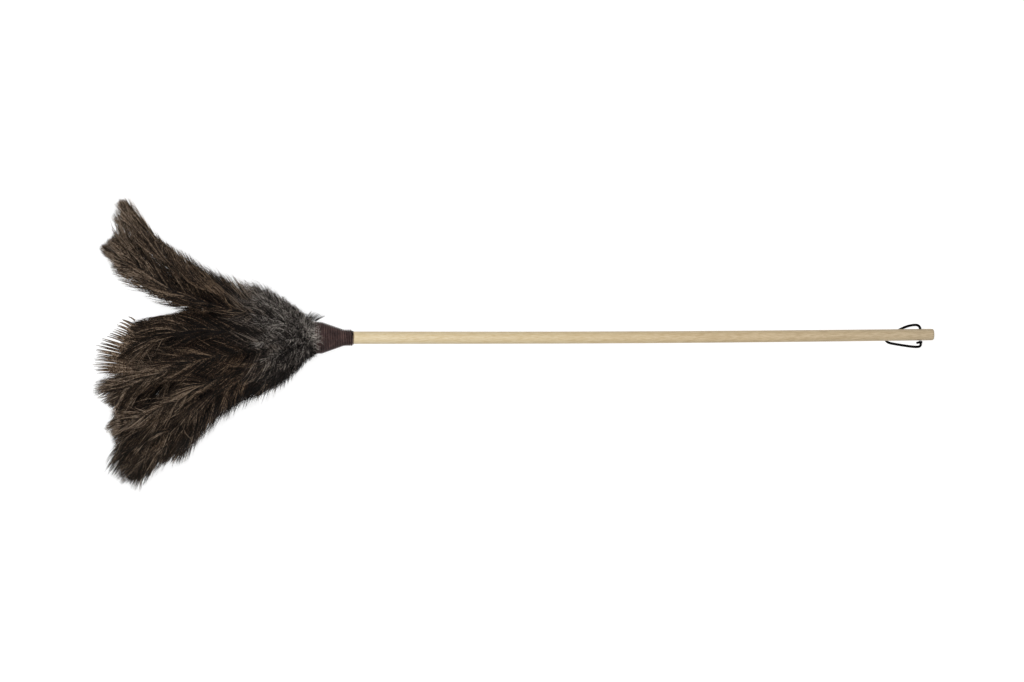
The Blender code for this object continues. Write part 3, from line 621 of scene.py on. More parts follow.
def make_loop(surface):
    """The cord and its knot; both swing with the loop."""
    points, length = smooth_route(LOOP_ROUTE, CORD_DIAMETER / 3)
    points = points + PIVOT
    cord = tubes("cord_loop", [(points, 1.0)], CORD_DIAMETER / 2, 4)
    carried(cord, "hanging_loop", surface, "hang_loop")

    low, high = LOOP_ROUTE[-1][1], LOOP_ROUTE[0][1] - FIT_GAP
    share = np.linspace(0.0, 1.0, 97)
    angle = tau * KNOT_TURNS * share
    rise = high - KNOT_STRAND - (high - low - 2 * KNOT_STRAND) * share
    wraps = np.c_[KNOT_RING * np.cos(angle), rise, KNOT_RING * np.sin(angle)]
    middle = np.array([(0.0, y, 0.0) for y in np.linspace(high, low, 9)])
    share = np.linspace(0.0, 1.0, 17)
    drop = TAIL_BELOW_TOP + TAIL_LENGTH * sin(TAIL_TILT) * share + TAIL_SAG * share ** 2
    tail = np.c_[-TAIL_LENGTH * cos(TAIL_TILT) * share, high - drop,
                 TAIL_SWAY * np.sin(TAIL_SWAY_ANGLE * share)]
    lines = [
        (wraps + PIVOT, KNOT_STRAND / (CORD_DIAMETER / 2)),
        (middle + PIVOT, KNOT_MIDDLE_SWELL),
        (tail + PIVOT, np.interp(share, *TAIL_TAPER)),
    ]
    knot = settled(tubes("cord_knot", lines, CORD_DIAMETER / 2, 3))
    carried(knot, "hanging_loop", surface, "loop_knot")


# Feathers: the CAD's mapping opens the round bundle into the fan


def fan_edge(distance, full, shares):
    """How far the fan reaches to one side at distances from the mouth."""
    growth = np.interp(distance / HEAD_LENGTH, FAN_STATION_SHARES, shares)
    return BUNDLE_RADIUS + (full - BUNDLE_RADIUS) * growth


def across_the_fan(distance, across):
    """Y of points of the bundle, past the notch that parts the upper tuft from the rest."""
    upper = fan_edge(distance, *UPPER_SPREAD)
    lower = -fan_edge(distance, *LOWER_SPREAD)
    reach = distance / HEAD_LENGTH
    start = BUNDLE_RADIUS * NOTCH_ACROSS_SHARE
    line = start + (NOTCH_LINE - start) * np.minimum(reach, 1.0) ** NOTCH_LINE_POWER
    open_share = np.maximum(0.0, reach - NOTCH_START_SHARE) / (1 - NOTCH_START_SHARE)
    half = NOTCH_OPENING * open_share ** NOTCH_POWER + NOTCH_SEAM_SHARE * (upper - lower)
    below, above = NOTCH_ACROSS_SHARE - NOTCH_SEAM_SHARE, NOTCH_ACROSS_SHARE + NOTCH_SEAM_SHARE
    in_rest = lower + (line - half - lower) * (across + 1) / (below + 1)
    in_seam = line + half * (across - NOTCH_ACROSS_SHARE) / NOTCH_SEAM_SHARE
    in_tuft = line + half + (upper - line - half) * (across - above) / (1 - above)
    y = np.where(across < below, in_rest, np.where(across > above, in_tuft, in_seam))
    return np.where(across < -1.0, -lower * across, np.where(across > 1.0, upper * across, y))


def droop(distance):
    """Height of the middle of the fan, which droops towards its tips."""
    return -DROOP * (distance / HEAD_LENGTH) ** DROOP_POWER


def floor_level(distance):
    """The surface under the fan, in the handle's frame."""
    return -(MOUTH_HEIGHT + distance * sin(REST_TILT)) / cos(REST_TILT)


def open_fan(distance, across, up):
    """Places in the fan, (n, 3), of points of the round bundle at distances from the mouth."""
    s = np.maximum(distance, 1e-6)
    floor = floor_level(s)
    middle = droop(s)
    crest = fan_edge(s, *CREST)
    half_width = (fan_edge(s, *UPPER_SPREAD) + fan_edge(s, *LOWER_SPREAD)) / 2
    rim = OUTER_RING_SHARE + VANE_THICKNESS / 2 / half_width
    depth = np.minimum(crest, (middle - floor + FLAT_CUT) / rim)
    squaring = 1 / np.sqrt(1 - (BOTTOM_FLATNESS_SHARE * np.minimum(np.abs(across), 1.0)) ** 2)
    low = np.maximum(middle + up * squaring * depth, floor)
    z = np.where(up > 0.0, middle + up * crest, low)
    in_fan = np.c_[-s, across_the_fan(s, across), z]
    in_bundle = np.c_[-distance, BUNDLE_RADIUS * across, BUNDLE_RADIUS * up]
    return np.where((distance <= 0.0)[:, None], in_bundle, in_fan)


def ring_share(distance, bundle_ring, open_ring_share):
    """A ring's place in the fan: from its radius in the bundle to its open place."""
    held = bundle_ring / BUNDLE_RADIUS
    t = np.clip(distance / (HEAD_LENGTH * RING_OPEN_SHARE), 0.0, 1.0)
    return held + (open_ring_share - held) * t * t * (3 - 2 * t)


def quill_end(bundle_ring):
    """How deep a quill reaches into the binding before the taper stops it."""
    slope = (MOUTH_BORE - ROD_BORE) / (NECK_START - COLLAR_LENGTH)
    room = MOUTH_BORE - (bundle_ring + QUILL_RADIUS + QUILL_GAP)
    return COLLAR_LENGTH + room / slope - FIT_GAP


def even_cells(count):
    """Equal cells all round the bundle, as (direction, half width)."""
    half = pi / count
    return [(pi / 2 + 2 * half * i, half) for i in range(count)]


def parted_cells(tuft, rest, open_ring_share):
    """Cells of a ring that the notch parts: so many in the upper tuft, so many in the rest."""
    edge = acos(NOTCH_ACROSS_SHARE / open_ring_share)
    cells = [(edge * ((2 * i + 1) / tuft - 1), edge / tuft) for i in range(tuft)]
    half = (pi - edge) / rest
    return cells + [(edge + half * (2 * i + 1), half) for i in range(rest)]


def tip_reach(open_ring_share, centre, number):
    """How far a feather's tip reaches, by its place across the fan, with a slight ripple."""
    share = float(np.interp(open_ring_share * cos(centre), *TIP_REACHES))
    ripple = TIP_RIPPLE_SHARE * sin(TIP_RIPPLE_STEP * number)
    return HEAD_LENGTH * (share - TIP_RIPPLE_SHARE + ripple)


SHAFT_STEPS = 90
RING_STEP = 0.02
SHORTEST_OUT = 0.005 * MM


def shaft_line(distances, share, centre, inset):
    """A feather's shaft: its points, and unit directions along, beside and away from the fan.

    The inset draws the side feathers in, so that their barbs end at the edge of the fan.
    """
    def place(ring):
        return open_fan(distances, ring * np.cos(centre), ring * np.sin(centre))

    points = place(share)
    points[:, 1] -= inset * cos(centre) * abs(cos(centre))
    along = unit(np.gradient(points, distances, axis=0))
    out = place(share + RING_STEP) - place(share - RING_STEP)
    out -= (out * along).sum(1)[:, None] * along
    out /= np.maximum(np.linalg.norm(out, axis=1), SHORTEST_OUT)[:, None]
    return points, along, np.cross(along, out), out


# Outline of the opened head in mm, seen from above: its edges by distance from the mouth, and how
# far the upper tuft and the rest reach by their place across
EDGE_STATIONS = (
    -18, -10, -1, 7, 16, 24, 32, 41, 49, 58, 66, 75, 83, 92, 100, 109, 117, 126, 134, 143, 151,
    160, 168, 176, 185, 193, 202, 210, 240,
)
UPPER_EDGE = (
    16, 23, 27, 28, 32, 39, 45, 51, 58, 61, 63, 66, 68, 71, 73, 76,
    79, 85, 92, 96, 99, 104, 112, 121, 134, 150, 148, 144, 140,
)
LOWER_EDGE = (
    14, 17, 19, 26, 36, 43, 52, 57, 61, 64, 67, 71, 78, 84, 90, 100,
    108, 116, 127, 131, 131, 134, 137, 148, 161, 157, 155, 153, 152,
)
TUFT_PLACES = (
    30, 36, 43, 49, 56, 62, 69, 75, 81, 88, 94, 101, 107, 113, 120, 126, 133, 139, 145, 152,
    158,
)
TUFT_REACH = (
    150, 167, 184, 201, 209, 214, 218, 217, 219, 225, 229, 228, 217, 210, 212, 216, 217, 213,
    210, 208, 203,
)
REST_PLACES = (
    -161, -155, -149, -142, -136, -130, -123, -117, -110, -104, -98, -91, -85, -78, -72, -66, -59,
    -53, -46, -40, -34, -27, -21, -14, -8, -2, 5, 11, 17, 21, 25, 31,
)
REST_REACH = (
    188, 206, 222, 221, 224, 221, 217, 212, 212, 215, 223, 220, 216, 215, 219, 232, 238,
    236, 236, 229, 219, 210, 206, 205, 205, 205, 204, 203, 199, 192, 168, 140,
)
# How far barbs may stand above the crest, and beside the edges before they count as its side
CROWN_MARGIN = 5.0
CROWN_SIDE_SPARE = 2.0


def inside_outline(strands, in_tuft, margin):
    """The share of each strand that stays within the head's outline, with its own margin in mm."""
    s, y = -strands[..., 0] / MM, strands[..., 1] / MM
    spare = margin[:, None]
    upper, lower = (np.interp(s, EDGE_STATIONS, edge) for edge in (UPPER_EDGE, LOWER_EDGE))
    places, reaches = (TUFT_PLACES, TUFT_REACH) if in_tuft else (REST_PLACES, REST_REACH)
    front = np.interp(y, places, reaches) + spare - s
    side = np.where(y > 0.0, upper, lower) + CROWN_SIDE_SPARE
    crown = np.sqrt(np.clip(1.0 - (y / side) ** 2, 0.0, 1.0))
    distance = np.maximum(s, 1e-3) * MM
    roof = droop(distance) + crown * fan_edge(distance, *CREST)
    above = roof / MM + CROWN_MARGIN + spare - strands[..., 2] / MM
    room = np.minimum(np.minimum(upper + spare - y, lower + spare + y), np.minimum(front, above))
    steps = strands.shape[1] - 1
    share = np.ones(len(strands))
    for step in range(steps, 0, -1):
        now, before = room[:, step], room[:, step - 1]
        part = np.clip(before / np.maximum(before - now, 1e-6), 0.0, 1.0)
        share = np.where(now < 0.0, (step - 1 + np.where(before < 0.0, 0.0, part)) / steps, share)
    return share


def trimmed(strands, share):
    """The same strands, each kept only as far as its share."""
    steps = strands.shape[1]
    place = share[:, None] * np.arange(steps)[None, :]
    low = np.clip(np.floor(place).astype(int), 0, steps - 2)
    part = (place - low)[..., None]
    rows = np.arange(len(strands))[:, None]
    return strands[rows, low] * (1 - part) + strands[rows, low + 1] * part


# How barbs differ in length, first and last angle, tone and margin. DRIFT changes slowly along the
# shaft, SHARED is alike within a bunch, OWN is each barb's and STRAND each of its strands'
BARB_STEPS = 5
GATHER = 0.2
LENGTH_DRIFT, LENGTH_SHARED, LENGTH_STRAND = 0.08, 0.04, (0.5, 1.04)
FIRST_DRIFT, FIRST_SHARED, FIRST_STRAND = 0.17, 0.03, 0.4
LAST_DRIFT, LAST_SHARED, LAST_OWN, LAST_STRAND = 0.24, 0.06, 0.10, 0.9
TONE_DRIFT, TONE_DRIFT_KNOTS, TONE_OWN, TONE_STRAND = 0.06, 24, 0.28, 0.20
MARGIN_STRAND, MARGIN_SHORTER, MARGIN_GATHER = 0.5, 0.6, 0.8
BASE_STRAND = 0.45 * MM
CURL_STRAND = 0.06
LOOSE_SPREAD = 4.0
STRAY_TURN, STRAY_LIFT, STRAY_TONE = (-2.0, 3.0), 0.5, 0.35
TURN_POWER = 0.8
FOLLOW_SHAFT = 0.6
BELLY_POWER, BELLY_END, BELLY_FLOOR = 0.65, 0.25, 0.5
SHORTEST_STRAND = 2.5 * MM
FLOOR_GAP = 0.1 * MM


def barb_lines(rng, distances, shaft, plan):
    """Strands of one feather, as an (n, k, 3) array in the handle's frame, with their values.

    Barbs leave the shaft on both sides, each a clump of strands that stay close together, as
    the barbules hold them. Bunches of two or three neighbours on a side lie nearly alike, so
    they make combs.
    """
    points, along, beside, out = shaft
    clumps, per_clump = plan["clumps"], plan["per_clump"]
    count = clumps * per_clump
    order = np.arange(clumps)
    share = (order + rng.uniform(0.1, 0.9, clumps)) / clumps
    share = 1.0 - (1.0 - share) ** plan["crowding"]
    even = np.linspace(0.0, 1.0, clumps)
    base = plan["start"] + (distances[-1] - plan["start"]) * share
    on_left = order % 2 == 0
    ends = np.cumsum(rng.integers(2, 4, clumps))
    bunch = 2 * np.searchsorted(ends, order // 2, side="right") + order % 2

    def drift(spread, knots=11):
        """A value for each barb that drifts slowly along each side of the shaft."""
        return np.where(on_left, *(
            np.interp(even, np.linspace(0.0, 1.0, knots), rng.normal(0.0, spread, knots))
            for _ in range(2)))

    def own(spread):
        return rng.normal(0.0, spread, clumps)

    def shared(spread):
        return own(spread)[bunch]

    bunch_base = (np.bincount(bunch, base) / np.maximum(np.bincount(bunch), 1))[bunch]
    gather = GATHER * (bunch_base - base)
    lift = plan["lift"] + drift(plan["lift_drift"]) + shared(plan["lift_jitter"])
    lift = lift + own(plan["lift_jitter"])
    length = np.interp(share, *plan["length"]) * (1 + drift(LENGTH_DRIFT) + shared(LENGTH_SHARED))
    first = np.interp(share, *plan["first_angle"]) + drift(FIRST_DRIFT) + shared(FIRST_SHARED)
    last = np.interp(share, *plan["last_angle"]) + drift(LAST_DRIFT) + shared(LAST_SHARED)
    last = last + own(LAST_OWN)
    tone = plan["tone"] + drift(TONE_DRIFT, TONE_DRIFT_KNOTS) + own(TONE_OWN)
    curl = drift(plan["curl"])
    ragged = plan["ragged"]
    margin = plan["margin"] + np.clip(shared(ragged), -2 * ragged, 2 * ragged)
    margin = margin - MARGIN_GATHER * np.abs(gather) / MM

    def each(values, spread, wild=1.0):
        return np.repeat(values, per_clump) + rng.normal(0.0, 1.0, count) * spread * wild

    loose = np.where(rng.random(count) < plan["loose"], LOOSE_SPREAD, 1.0)
    base = each(base, BASE_STRAND, loose)
    side = np.repeat(np.where(on_left, 1.0, -1.0), per_clump)
    lift = each(lift, plan["scatter"], loose)
    length = np.repeat(length, per_clump) * rng.uniform(*LENGTH_STRAND, count)
    first = each(first, FIRST_STRAND * plan["scatter"], loose)
    last = each(last, LAST_STRAND * plan["scatter"], loose)
    gather = np.repeat(gather, per_clump)
    curl = each(curl, CURL_STRAND, loose)
    tone = np.clip(each(np.clip(tone, 0.0, 1.0), TONE_STRAND), 0.0, 1.0)
    margin = each(margin, MARGIN_STRAND) - np.abs(rng.normal(0.0, MARGIN_SHORTER, count))
    stray = rng.random(count) < plan["stray"]
    last = np.where(stray, last * rng.uniform(*STRAY_TURN, count), last)
    lift = np.where(stray, lift + rng.normal(0.0, STRAY_LIFT, count), lift)
    tone = np.where(stray, np.clip(tone + STRAY_TONE, 0.0, 1.0), tone)
    bulge = rng.normal(0.0, plan["bulge"], (2, count)) * np.sqrt(loose)

    t = np.linspace(0.0, 1.0, BARB_STEPS)[None, :]
    angle = first[:, None] + (last - first)[:, None] * t ** TURN_POWER
    piece = length[:, None] / (BARB_STEPS - 1)
    forward = np.cumsum(np.cos(angle) * piece, axis=1) - np.cos(angle[:, :1]) * piece
    sideways = np.cumsum(np.sin(angle) * piece, axis=1) - np.sin(angle[:, :1]) * piece
    forward = forward + gather[:, None] * t
    where = np.clip(base[:, None] + FOLLOW_SHAFT * forward, distances[0], distances[-1])
    overshoot = base[:, None] + forward - where

    def at(field):
        return np.stack([np.interp(where, distances, field[:, i]) for i in range(3)], axis=-1)

    turn = lift[:, None] + curl[:, None] * t
    belly = np.sin(pi * t ** BELLY_POWER) + BELLY_END * t
    aside = sideways * np.cos(turn) * side[:, None] + bulge[1][:, None] * belly
    outward = sideways * np.sin(turn) + bulge[0][:, None] * belly
    strands = at(points) + at(along) * overshoot[..., None]
    strands += at(beside) * aside[..., None]
    strands += at(out) * outward[..., None]
    strands[..., 2] -= plan["sag"] * t ** 2 * sideways
    strands[..., 1] -= plan["sweep"] * t ** 2 * length[:, None]
    strands = trimmed(strands, inside_outline(strands, plan["in_tuft"], margin))
    kept = np.linalg.norm(strands[:, -1] - strands[:, 0], axis=1) > SHORTEST_STRAND
    floor = floor_level(-strands[..., 0]) + plan["thickness"] + FLOOR_GAP
    floor = floor + BELLY_FLOOR * np.abs(bulge[0])[:, None] * belly
    strands[..., 2] = np.maximum(strands[..., 2], floor)
    return strands[kept], tone[kept], np.clip(base[kept] / HEAD_LENGTH, 0.0, 1.0)


# Single barbs: the comb at the front of the rest's uppermost plume, and a wisp over the collar.
# Places are in mm, and what ends in _OWN is how far each barb strays from them. What ends in
# _TONES is the darkest and the lightest tone, the reach and the start of shade
COMB_PLUME = 7
COMB_BARBS = 33
COMB_STRANDS = 12
COMB_PLACES = (-36, -27, -21, -14, -8, -2, 5, 11, 17, 23)
COMB_REACH = (234, 234, 233, 232, 230, 226, 220, 213, 206, 199)
COMB_SLOPES = ((-36.0, -15.0, 5.0, 23.0), (0.0, 0.2, 0.4, 0.55))
COMB_ROOT = 195 * MM
COMB_ROOT_OWN, COMB_PLACE_OWN, COMB_REACH_OWN = 5.0, 0.3, 1.8
COMB_HEIGHT_SHARE = 0.86
COMB_SPREAD, COMB_BEND = 0.65 * MM, 0.8 * MM
WISP_PLUME = 4
WISP_BARBS = 8
WISP_STRANDS = 9
WISP_ROOTS = ((-7.3, 21.5, 5.0), (1.2, 17.8, 5.0), (0.3, 0.0, 2.0))
WISP_TIPS = ((-1.6, 29.0, 5.0), (12.9, 23.2, 5.0), (0.6, 0.0, 3.0))
WISP_SPREAD, WISP_BEND = 0.22 * MM, 0.6 * MM
COMB_TONES, WISP_TONES = (0.35, 0.85, 0.8, 0.7), (0.0, 0.45, 0.0, 0.3)
ROOT_SPREAD = 1.2


def single_barbs(rng, roots, tips, per_barb, spread, bend):
    """Barbs that stand alone: a few strands each, from root to tip with a slight bend in y."""
    t = np.linspace(0.0, 1.0, BARB_STEPS)[None, :, None]
    start, end = (np.repeat(ends, per_barb, axis=0)[:, None] for ends in (roots, tips))
    own = rng.normal(0.0, spread, start.shape)
    strands = start + (end - start) * t + own * (ROOT_SPREAD - t)
    strands[..., 1] += bend * np.sin(pi * t[..., 0])
    return strands


def front_comb(rng):
    """The barbs that stand out like a comb from the front of the rest's uppermost plume."""
    y = np.linspace(COMB_PLACES[0], COMB_PLACES[-1], COMB_BARBS)
    y = y + rng.normal(0.0, COMB_PLACE_OWN, COMB_BARBS)
    tip = np.interp(y, COMB_PLACES, COMB_REACH) * MM
    tip = tip + rng.normal(0.0, COMB_REACH_OWN * MM, COMB_BARBS)
    root = COMB_ROOT - rng.uniform(0.0, COMB_ROOT_OWN, COMB_BARBS) * MM
    slope = np.interp(y, *COMB_SLOPES)

    def height(s):
        return droop(s) + COMB_HEIGHT_SHARE * fan_edge(s, *CREST)

    roots = np.c_[-root, y * MM - slope * (tip - root), height(root)]
    tips = np.c_[-tip, y * MM, height(tip)]
    return single_barbs(rng, roots, tips, COMB_STRANDS, COMB_SPREAD, COMB_BEND)


def collar_wisp(rng):
    """Hairs that lie past the collar on its upper side."""
    own = rng.uniform(-1.0, 1.0, (WISP_BARBS, 3))

    def row(first, last, strays, across, up):
        even = np.linspace(first, last, WISP_BARBS)
        return (even + np.array(strays) * own[:, [across, across, up]]) * MM

    roots, tips = row(*WISP_ROOTS, 0, 1), row(*WISP_TIPS, 0, 2)
    return single_barbs(rng, roots, tips, WISP_STRANDS, WISP_SPREAD, WISP_BEND)


def toned(rng, strands, darkest, lightest, reach, shade_start):
    """Strands with their values: a tone of their own each, and one reach and start of shade."""
    count = len(strands)
    tone = rng.uniform(darkest, lightest, count)
    return strands, tone, np.full(count, reach), np.full(count, shade_start)


def joined(*groups):
    """Groups of strands and their values as one group."""
    return [np.concatenate(parts) for parts in zip(*groups)]


TUBE_SIDES = 4
STRAND_TAPER = ((0.0, 0.15, 0.6, 1.0), (0.7, 1.0, 0.9, 0.0))
# The shafts count as 0.4 along a strand, so they get a little of the painted shade at strand bases
SHAFT_TONE, SHAFT_ALONG = 0.3, 0.4
SHAFT_KEPT = 3


def make_plume(name, group, shaft_points, shaft_radii, thickness, surface, replaced):
    """Turn a feather's strands and shaft into one mesh with its three values at each point."""
    strands, tone, reach, shade_start = group
    shaft_points, shaft_radii = shaft_points[::SHAFT_KEPT], shaft_radii[::SHAFT_KEPT]
    along = np.linspace(0.0, 1.0, BARB_STEPS)
    taper = np.interp(along, *STRAND_TAPER)
    lines = [(line, taper) for line in to_world(strands)]
    lines.append((to_world(shaft_points), shaft_radii / thickness))
    plume = settled(tubes(name, lines, thickness, capped=False))
    along = shade_start[:, None] + (1.0 - shade_start[:, None]) * along
    ends = len(shaft_points)
    shaft_reach = np.clip(-shaft_points[:, 0] / HEAD_LENGTH, 0, 1)
    for key, values in (
        ("tone", (np.repeat(tone, BARB_STEPS), np.full(ends, SHAFT_TONE))),
        ("along", (along.ravel(), np.full(ends, SHAFT_ALONG))),
        ("reach", (np.repeat(reach, BARB_STEPS), shaft_reach)),
    ):
        attribute = plume.data.attributes.new(key, "FLOAT", "POINT")
        values = np.repeat(np.concatenate(values), TUBE_SIDES)
        attribute.data.foreach_set("value", values.astype(np.float32))
    carried(plume, "duster", surface, replaced)


# How feathers lie. Angles are in radians from the shaft, lengths and angles go by the share of
# the shaft, and margins and ragged edges are in mm. A ring has its seed, its place in the bundle
# and in the fan, its cells, its margin and how much wider its barbs stand
VANE_SHARES = (0.0, 0.35, 0.85, 1.0)
VANE_BARBS = {
    "clumps": 280, "per_clump": 4, "start": 0.04 * HEAD_LENGTH, "lift": 0.18,
    "scatter": 0.13, "curl": 0.35, "stray": 0.015, "loose": 0.07,
    "length": ((0.0, 0.2, 0.6, 1.0), (26 * MM, 42 * MM, 52 * MM, 54 * MM)),
    "bulge": 0.22 * MM, "sag": 0.12, "thickness": 0.29 * MM,
}
OUTER_CELLS = parted_cells(5, 11, OUTER_RING_SHARE)
MIDDLE_CELLS = parted_cells(3, 8, MIDDLE_RING_SHARE)
RINGS = {
    "inner": (100, INNER_RING, INNER_RING_SHARE, even_cells(8), -6.0, 0.2),
    "middle": (200, MIDDLE_RING, MIDDLE_RING_SHARE, MIDDLE_CELLS, -3.0, 0.2),
    "outer": (300, OUTER_RING, OUTER_RING_SHARE, OUTER_CELLS, 0.8, 0.0),
}
UNDER_FAN, UNDER_MARGIN = -0.1, -3.0
INSET_STATIONS = (0.0, 25.0, 90.0, 190.0)
TUFT = {
    "short": 15.0 * MM, "inset": (0.0, 14.0, 18.0, 1.0), "crowding": 1.5, "tone": 0.59,
    "sweep": ((0.5, 0.9, 1.0), (0.10, -0.28, -0.38)),
}
REST = {
    "short": 25.0 * MM, "inset": (0.0, 14.0, 20.0, 7.0), "crowding": 1.3, "tone": 0.54,
    "sweep": ((0.0, 0.17, 0.5, 0.77, 0.95), (0.0, -0.04, -0.12, 0.45, 0.62)),
}
DUSK_DEPTH, DUSK_CENTRE, DUSK_WIDTH = 0.27, 1.35, 0.42
LOWER_SHADE, LOWER_SHADE_START, LOWER_BROWN = 0.95, 0.55, 0.16
# Each strand starts at a random place up to this along itself, so the painted shade at its base is weaker on some
# strands
FRESH_SHADE = 0.3
QUILL_TAPER = ((-0.05, 0.05, 0.5, 1.0), (0.8, 0.75, 0.45, 0.25))


def make_full_feather(kind, number, centre, surface):
    """One full plume in its cell of the fan."""
    seed, bundle_ring, open_share, _, margin, wide = RINGS[kind]
    rng = np.random.default_rng(seed + number)
    side = cos(centre)
    in_tuft = open_share * side > NOTCH_ACROSS_SHARE
    group = TUFT if in_tuft else REST
    reach = tip_reach(open_share, centre, number) * (INNER_TIP_SHARE if kind == "inner" else 1.0)
    distances = np.linspace(-quill_end(bundle_ring), reach - group["short"], SHAFT_STEPS)
    share = ring_share(distances, bundle_ring, open_share)
    inset = np.interp(distances / MM, INSET_STATIONS, group["inset"]) * MM
    shaft = shaft_line(distances, share, centre, inset if kind == "outer" else 0.0)
    lower, upper, at_side = max(0.0, -side), max(0.0, side), abs(side)
    hang = 0.25 * lower
    spread = 0.18 if in_tuft else hang
    if kind == "outer" and sin(centre) <= UNDER_FAN:
        margin = UNDER_MARGIN
    dusk = DUSK_DEPTH * exp(-((centre - DUSK_CENTRE) / DUSK_WIDTH) ** 2)
    plan = dict(
        VANE_BARBS, in_tuft=in_tuft, crowding=group["crowding"], margin=margin - 1.2 * lower,
        sweep=float(np.interp(upper if in_tuft else lower, *group["sweep"])),
        ragged=2.0 + 2.8 * lower,
        tone=group["tone"] - dusk - LOWER_SHADE * max(0.0, lower - LOWER_SHADE_START),
        lift_drift=0.25 + 0.3 * at_side, lift_jitter=0.06 + 0.14 * at_side,
        first_angle=(VANE_SHARES, (1.2, 0.72 + hang + wide, 0.55 + hang + wide, 0.50 + hang)),
        last_angle=(VANE_SHARES, (0.9, 0.30 + hang + wide, 0.22 + spread + wide, 0.12 + spread)),
    )
    strands, tone, base = barb_lines(rng, distances, shaft, plan)
    barbs = (strands, tone, base + LOWER_BROWN * lower, rng.uniform(0.0, FRESH_SHADE, len(tone)))
    if kind == "outer" and number == COMB_PLUME:
        barbs = joined(barbs, toned(rng, front_comb(rng), *COMB_TONES))
    radii = np.interp(distances / reach, *QUILL_TAPER) * MM
    points = shaft[0]
    points[:, 2] = np.maximum(points[:, 2], floor_level(-points[:, 0]) + radii)
    make_plume(f"{kind}_plume_{number:02d}", barbs, points, radii, plan["thickness"], surface,
               f"{kind}_feather_{number:02d}")


DOWN_SHARES = (0.0, 0.12, 0.5, 1.0)
DOWN_BARBS = {
    "clumps": 200, "per_clump": 3, "start": 0.8 * MM, "in_tuft": False, "margin": 0.5,
    "sweep": 0.0, "crowding": 1.0, "ragged": 1.8, "scatter": 0.30, "lift": 0.55,
    "lift_drift": 0.3, "lift_jitter": 0.2, "curl": 0.6, "stray": 0.05, "loose": 0.1,
    "length": ((0.0, 0.3, 1.0), (13 * MM, 17 * MM, 19 * MM)),
    "first_angle": (DOWN_SHARES, (1.3, 1.3, 1.1, 0.6)),
    "last_angle": (DOWN_SHARES, (0.9, 0.9, 0.6, 0.2)),
    "bulge": 0.3 * MM, "sag": 0.05, "thickness": 0.24 * MM,
}
# The hairs that lap back over the mouth of the binding
LAP_BARBS = dict(
    DOWN_BARBS, clumps=52, lift=0.9, lift_drift=0.2, lift_jitter=0.25, stray=0.0, start=1.5 * MM,
    first_angle=((0.0, 1.0), (2.3, 2.1)), last_angle=((0.0, 1.0), (3.1, 2.9)),
)
LAP_STRETCH = 9.0 * MM
LAP_FIRST, LAP_LAST, LAP_AT_SIDE = (12.0, 16.0), (16.0, 21.0), 0.4
LAP_LIGHTER, LAP_SHADE_START = 0.30, 0.5
DOWN_SHORT = 14.0 * MM
DOWN_INSET = ((0.0, 12.0, 60.0), (0.0, 5.0, 12.0))
DOWN_TONE, DOWN_UPPER_LIGHT, DOWN_LOWER_SHADE = 0.46, 0.10, 0.50
DOWN_REACH_SHARE, DOWN_LOWER_BROWN = 0.6, 0.20
DOWN_TAPER = ((-0.05, 0.05, 1.0), (0.65, 0.6, 0.25))
DOWN_SEED = 9000


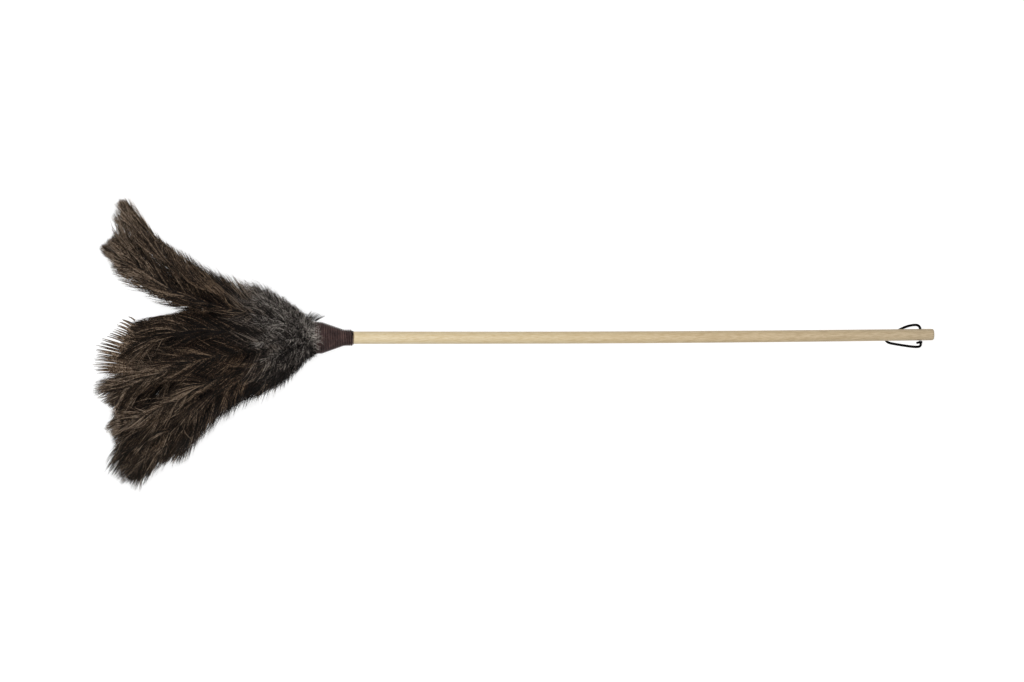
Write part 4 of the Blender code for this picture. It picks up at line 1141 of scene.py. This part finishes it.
def make_down_feather(number, centre, surface):
    """One short, fluffy feather over the mouth of the binding."""
    rng = np.random.default_rng(DOWN_SEED + number)
    distances = np.linspace(-quill_end(OUTER_RING), DOWN_LENGTH - DOWN_SHORT, SHAFT_STEPS)
    flare = np.interp(distances / DOWN_LENGTH, *DOWN_FLARE)
    inset = np.interp(distances / MM, *DOWN_INSET) * MM
    shaft = shaft_line(distances, flare * OUTER_RING / BUNDLE_RADIUS, centre, inset)
    side = cos(centre)
    tone = DOWN_TONE + (DOWN_UPPER_LIGHT if side > 0.0 else DOWN_LOWER_SHADE) * side
    lapping = MM * (1.0 - LAP_AT_SIDE * abs(side))
    lengths = [rng.uniform(*LAP_FIRST) * lapping, rng.uniform(*LAP_LAST) * lapping]
    lap = dict(LAP_BARBS, tone=tone + LAP_LIGHTER, length=((0.0, 1.0), lengths))
    near = distances < LAP_STRETCH
    body = barb_lines(rng, distances, shaft, dict(DOWN_BARBS, tone=tone))
    lapped = barb_lines(rng, distances[near], [field[near] for field in shaft], lap)
    barbs = joined(
        (*body, rng.uniform(0.0, FRESH_SHADE, len(body[0]))),
        (*lapped, np.full(len(lapped[0]), LAP_SHADE_START)),
    )
    if number == WISP_PLUME:
        barbs = joined(barbs, toned(rng, collar_wisp(rng), *WISP_TONES))
    barbs[2] = barbs[2] * DOWN_REACH_SHARE + DOWN_LOWER_BROWN * max(0.0, -side)
    radii = np.interp(distances / DOWN_LENGTH, *DOWN_TAPER) * MM
    make_plume(f"down_plume_{number:02d}", barbs, shaft[0], radii, DOWN_BARBS["thickness"],
               surface, f"down_feather_{number:02d}")


def make_head(vane, down):
    """All the feathers: three rings of full ones and the short downy ones round the mouth."""
    for kind, ring in RINGS.items():
        for number, (centre, _) in enumerate(ring[3], start=1):
            make_full_feather(kind, number, centre, vane)
    for number, (centre, half) in enumerate(OUTER_CELLS, start=1):
        make_down_feather(number, centre + half, down)


# Stage: each softbox has its name, place, width and power

FLOOR_SIZE, FLOOR_GLOW, SURROUNDING_GLOW = 30.0, 0.84, 0.17
SOFTBOXES = (
    ("key_softbox", (-0.5, 0.2, 2.4), 1.3, 53.0),
    ("fill_softbox", (0.8, -0.6, 2.2), 2.0, 17.0),
)


def add_stage():
    """A white table lit from below, so that hardly a shadow shows, under broad soft lights."""
    bm = bmesh.new()
    bmesh.ops.create_grid(bm, x_segments=1, y_segments=1, size=FLOOR_SIZE)
    mesh = bpy.data.meshes.new("floor")
    bm.to_mesh(mesh)
    bm.free()
    floor = add_object("floor", mesh)
    opal, _ = new_surface("opal_acrylic", Base_Color=colour("909090"), Roughness=0.9,
                          Emission_Color=colour("FFFFFF"), Emission_Strength=FLOOR_GLOW)
    mesh.materials.append(opal)

    world = bpy.data.worlds.new("soft_surrounding")
    scene.world = world
    world.use_nodes = True
    background = world.node_tree.nodes["Background"]
    background.inputs["Color"].default_value = colour("FFFFFF")
    background.inputs["Strength"].default_value = SURROUNDING_GLOW
    for name, place, size, power in SOFTBOXES:
        data = bpy.data.lights.new(name, "AREA")
        data.size = size
        data.energy = power
        light = add_object(name, data)
        light.location = place
        light.rotation_mode = "QUATERNION"
        light.rotation_quaternion = (-Vector(place)).to_track_quat("-Z", "Y")
    scene.view_settings.view_transform = "Standard"


add_camera()
make_loop(waxed_cord())
make_handle(bare_hardwood())
make_binding(lacquered_thread(), soaked_cotton(), drawn_wire(), amber_glue())
make_head(ostrich_plume("ostrich_plume", "A8A199"), ostrich_plume("ostrich_down", "B4ADA5"))
add_stage()
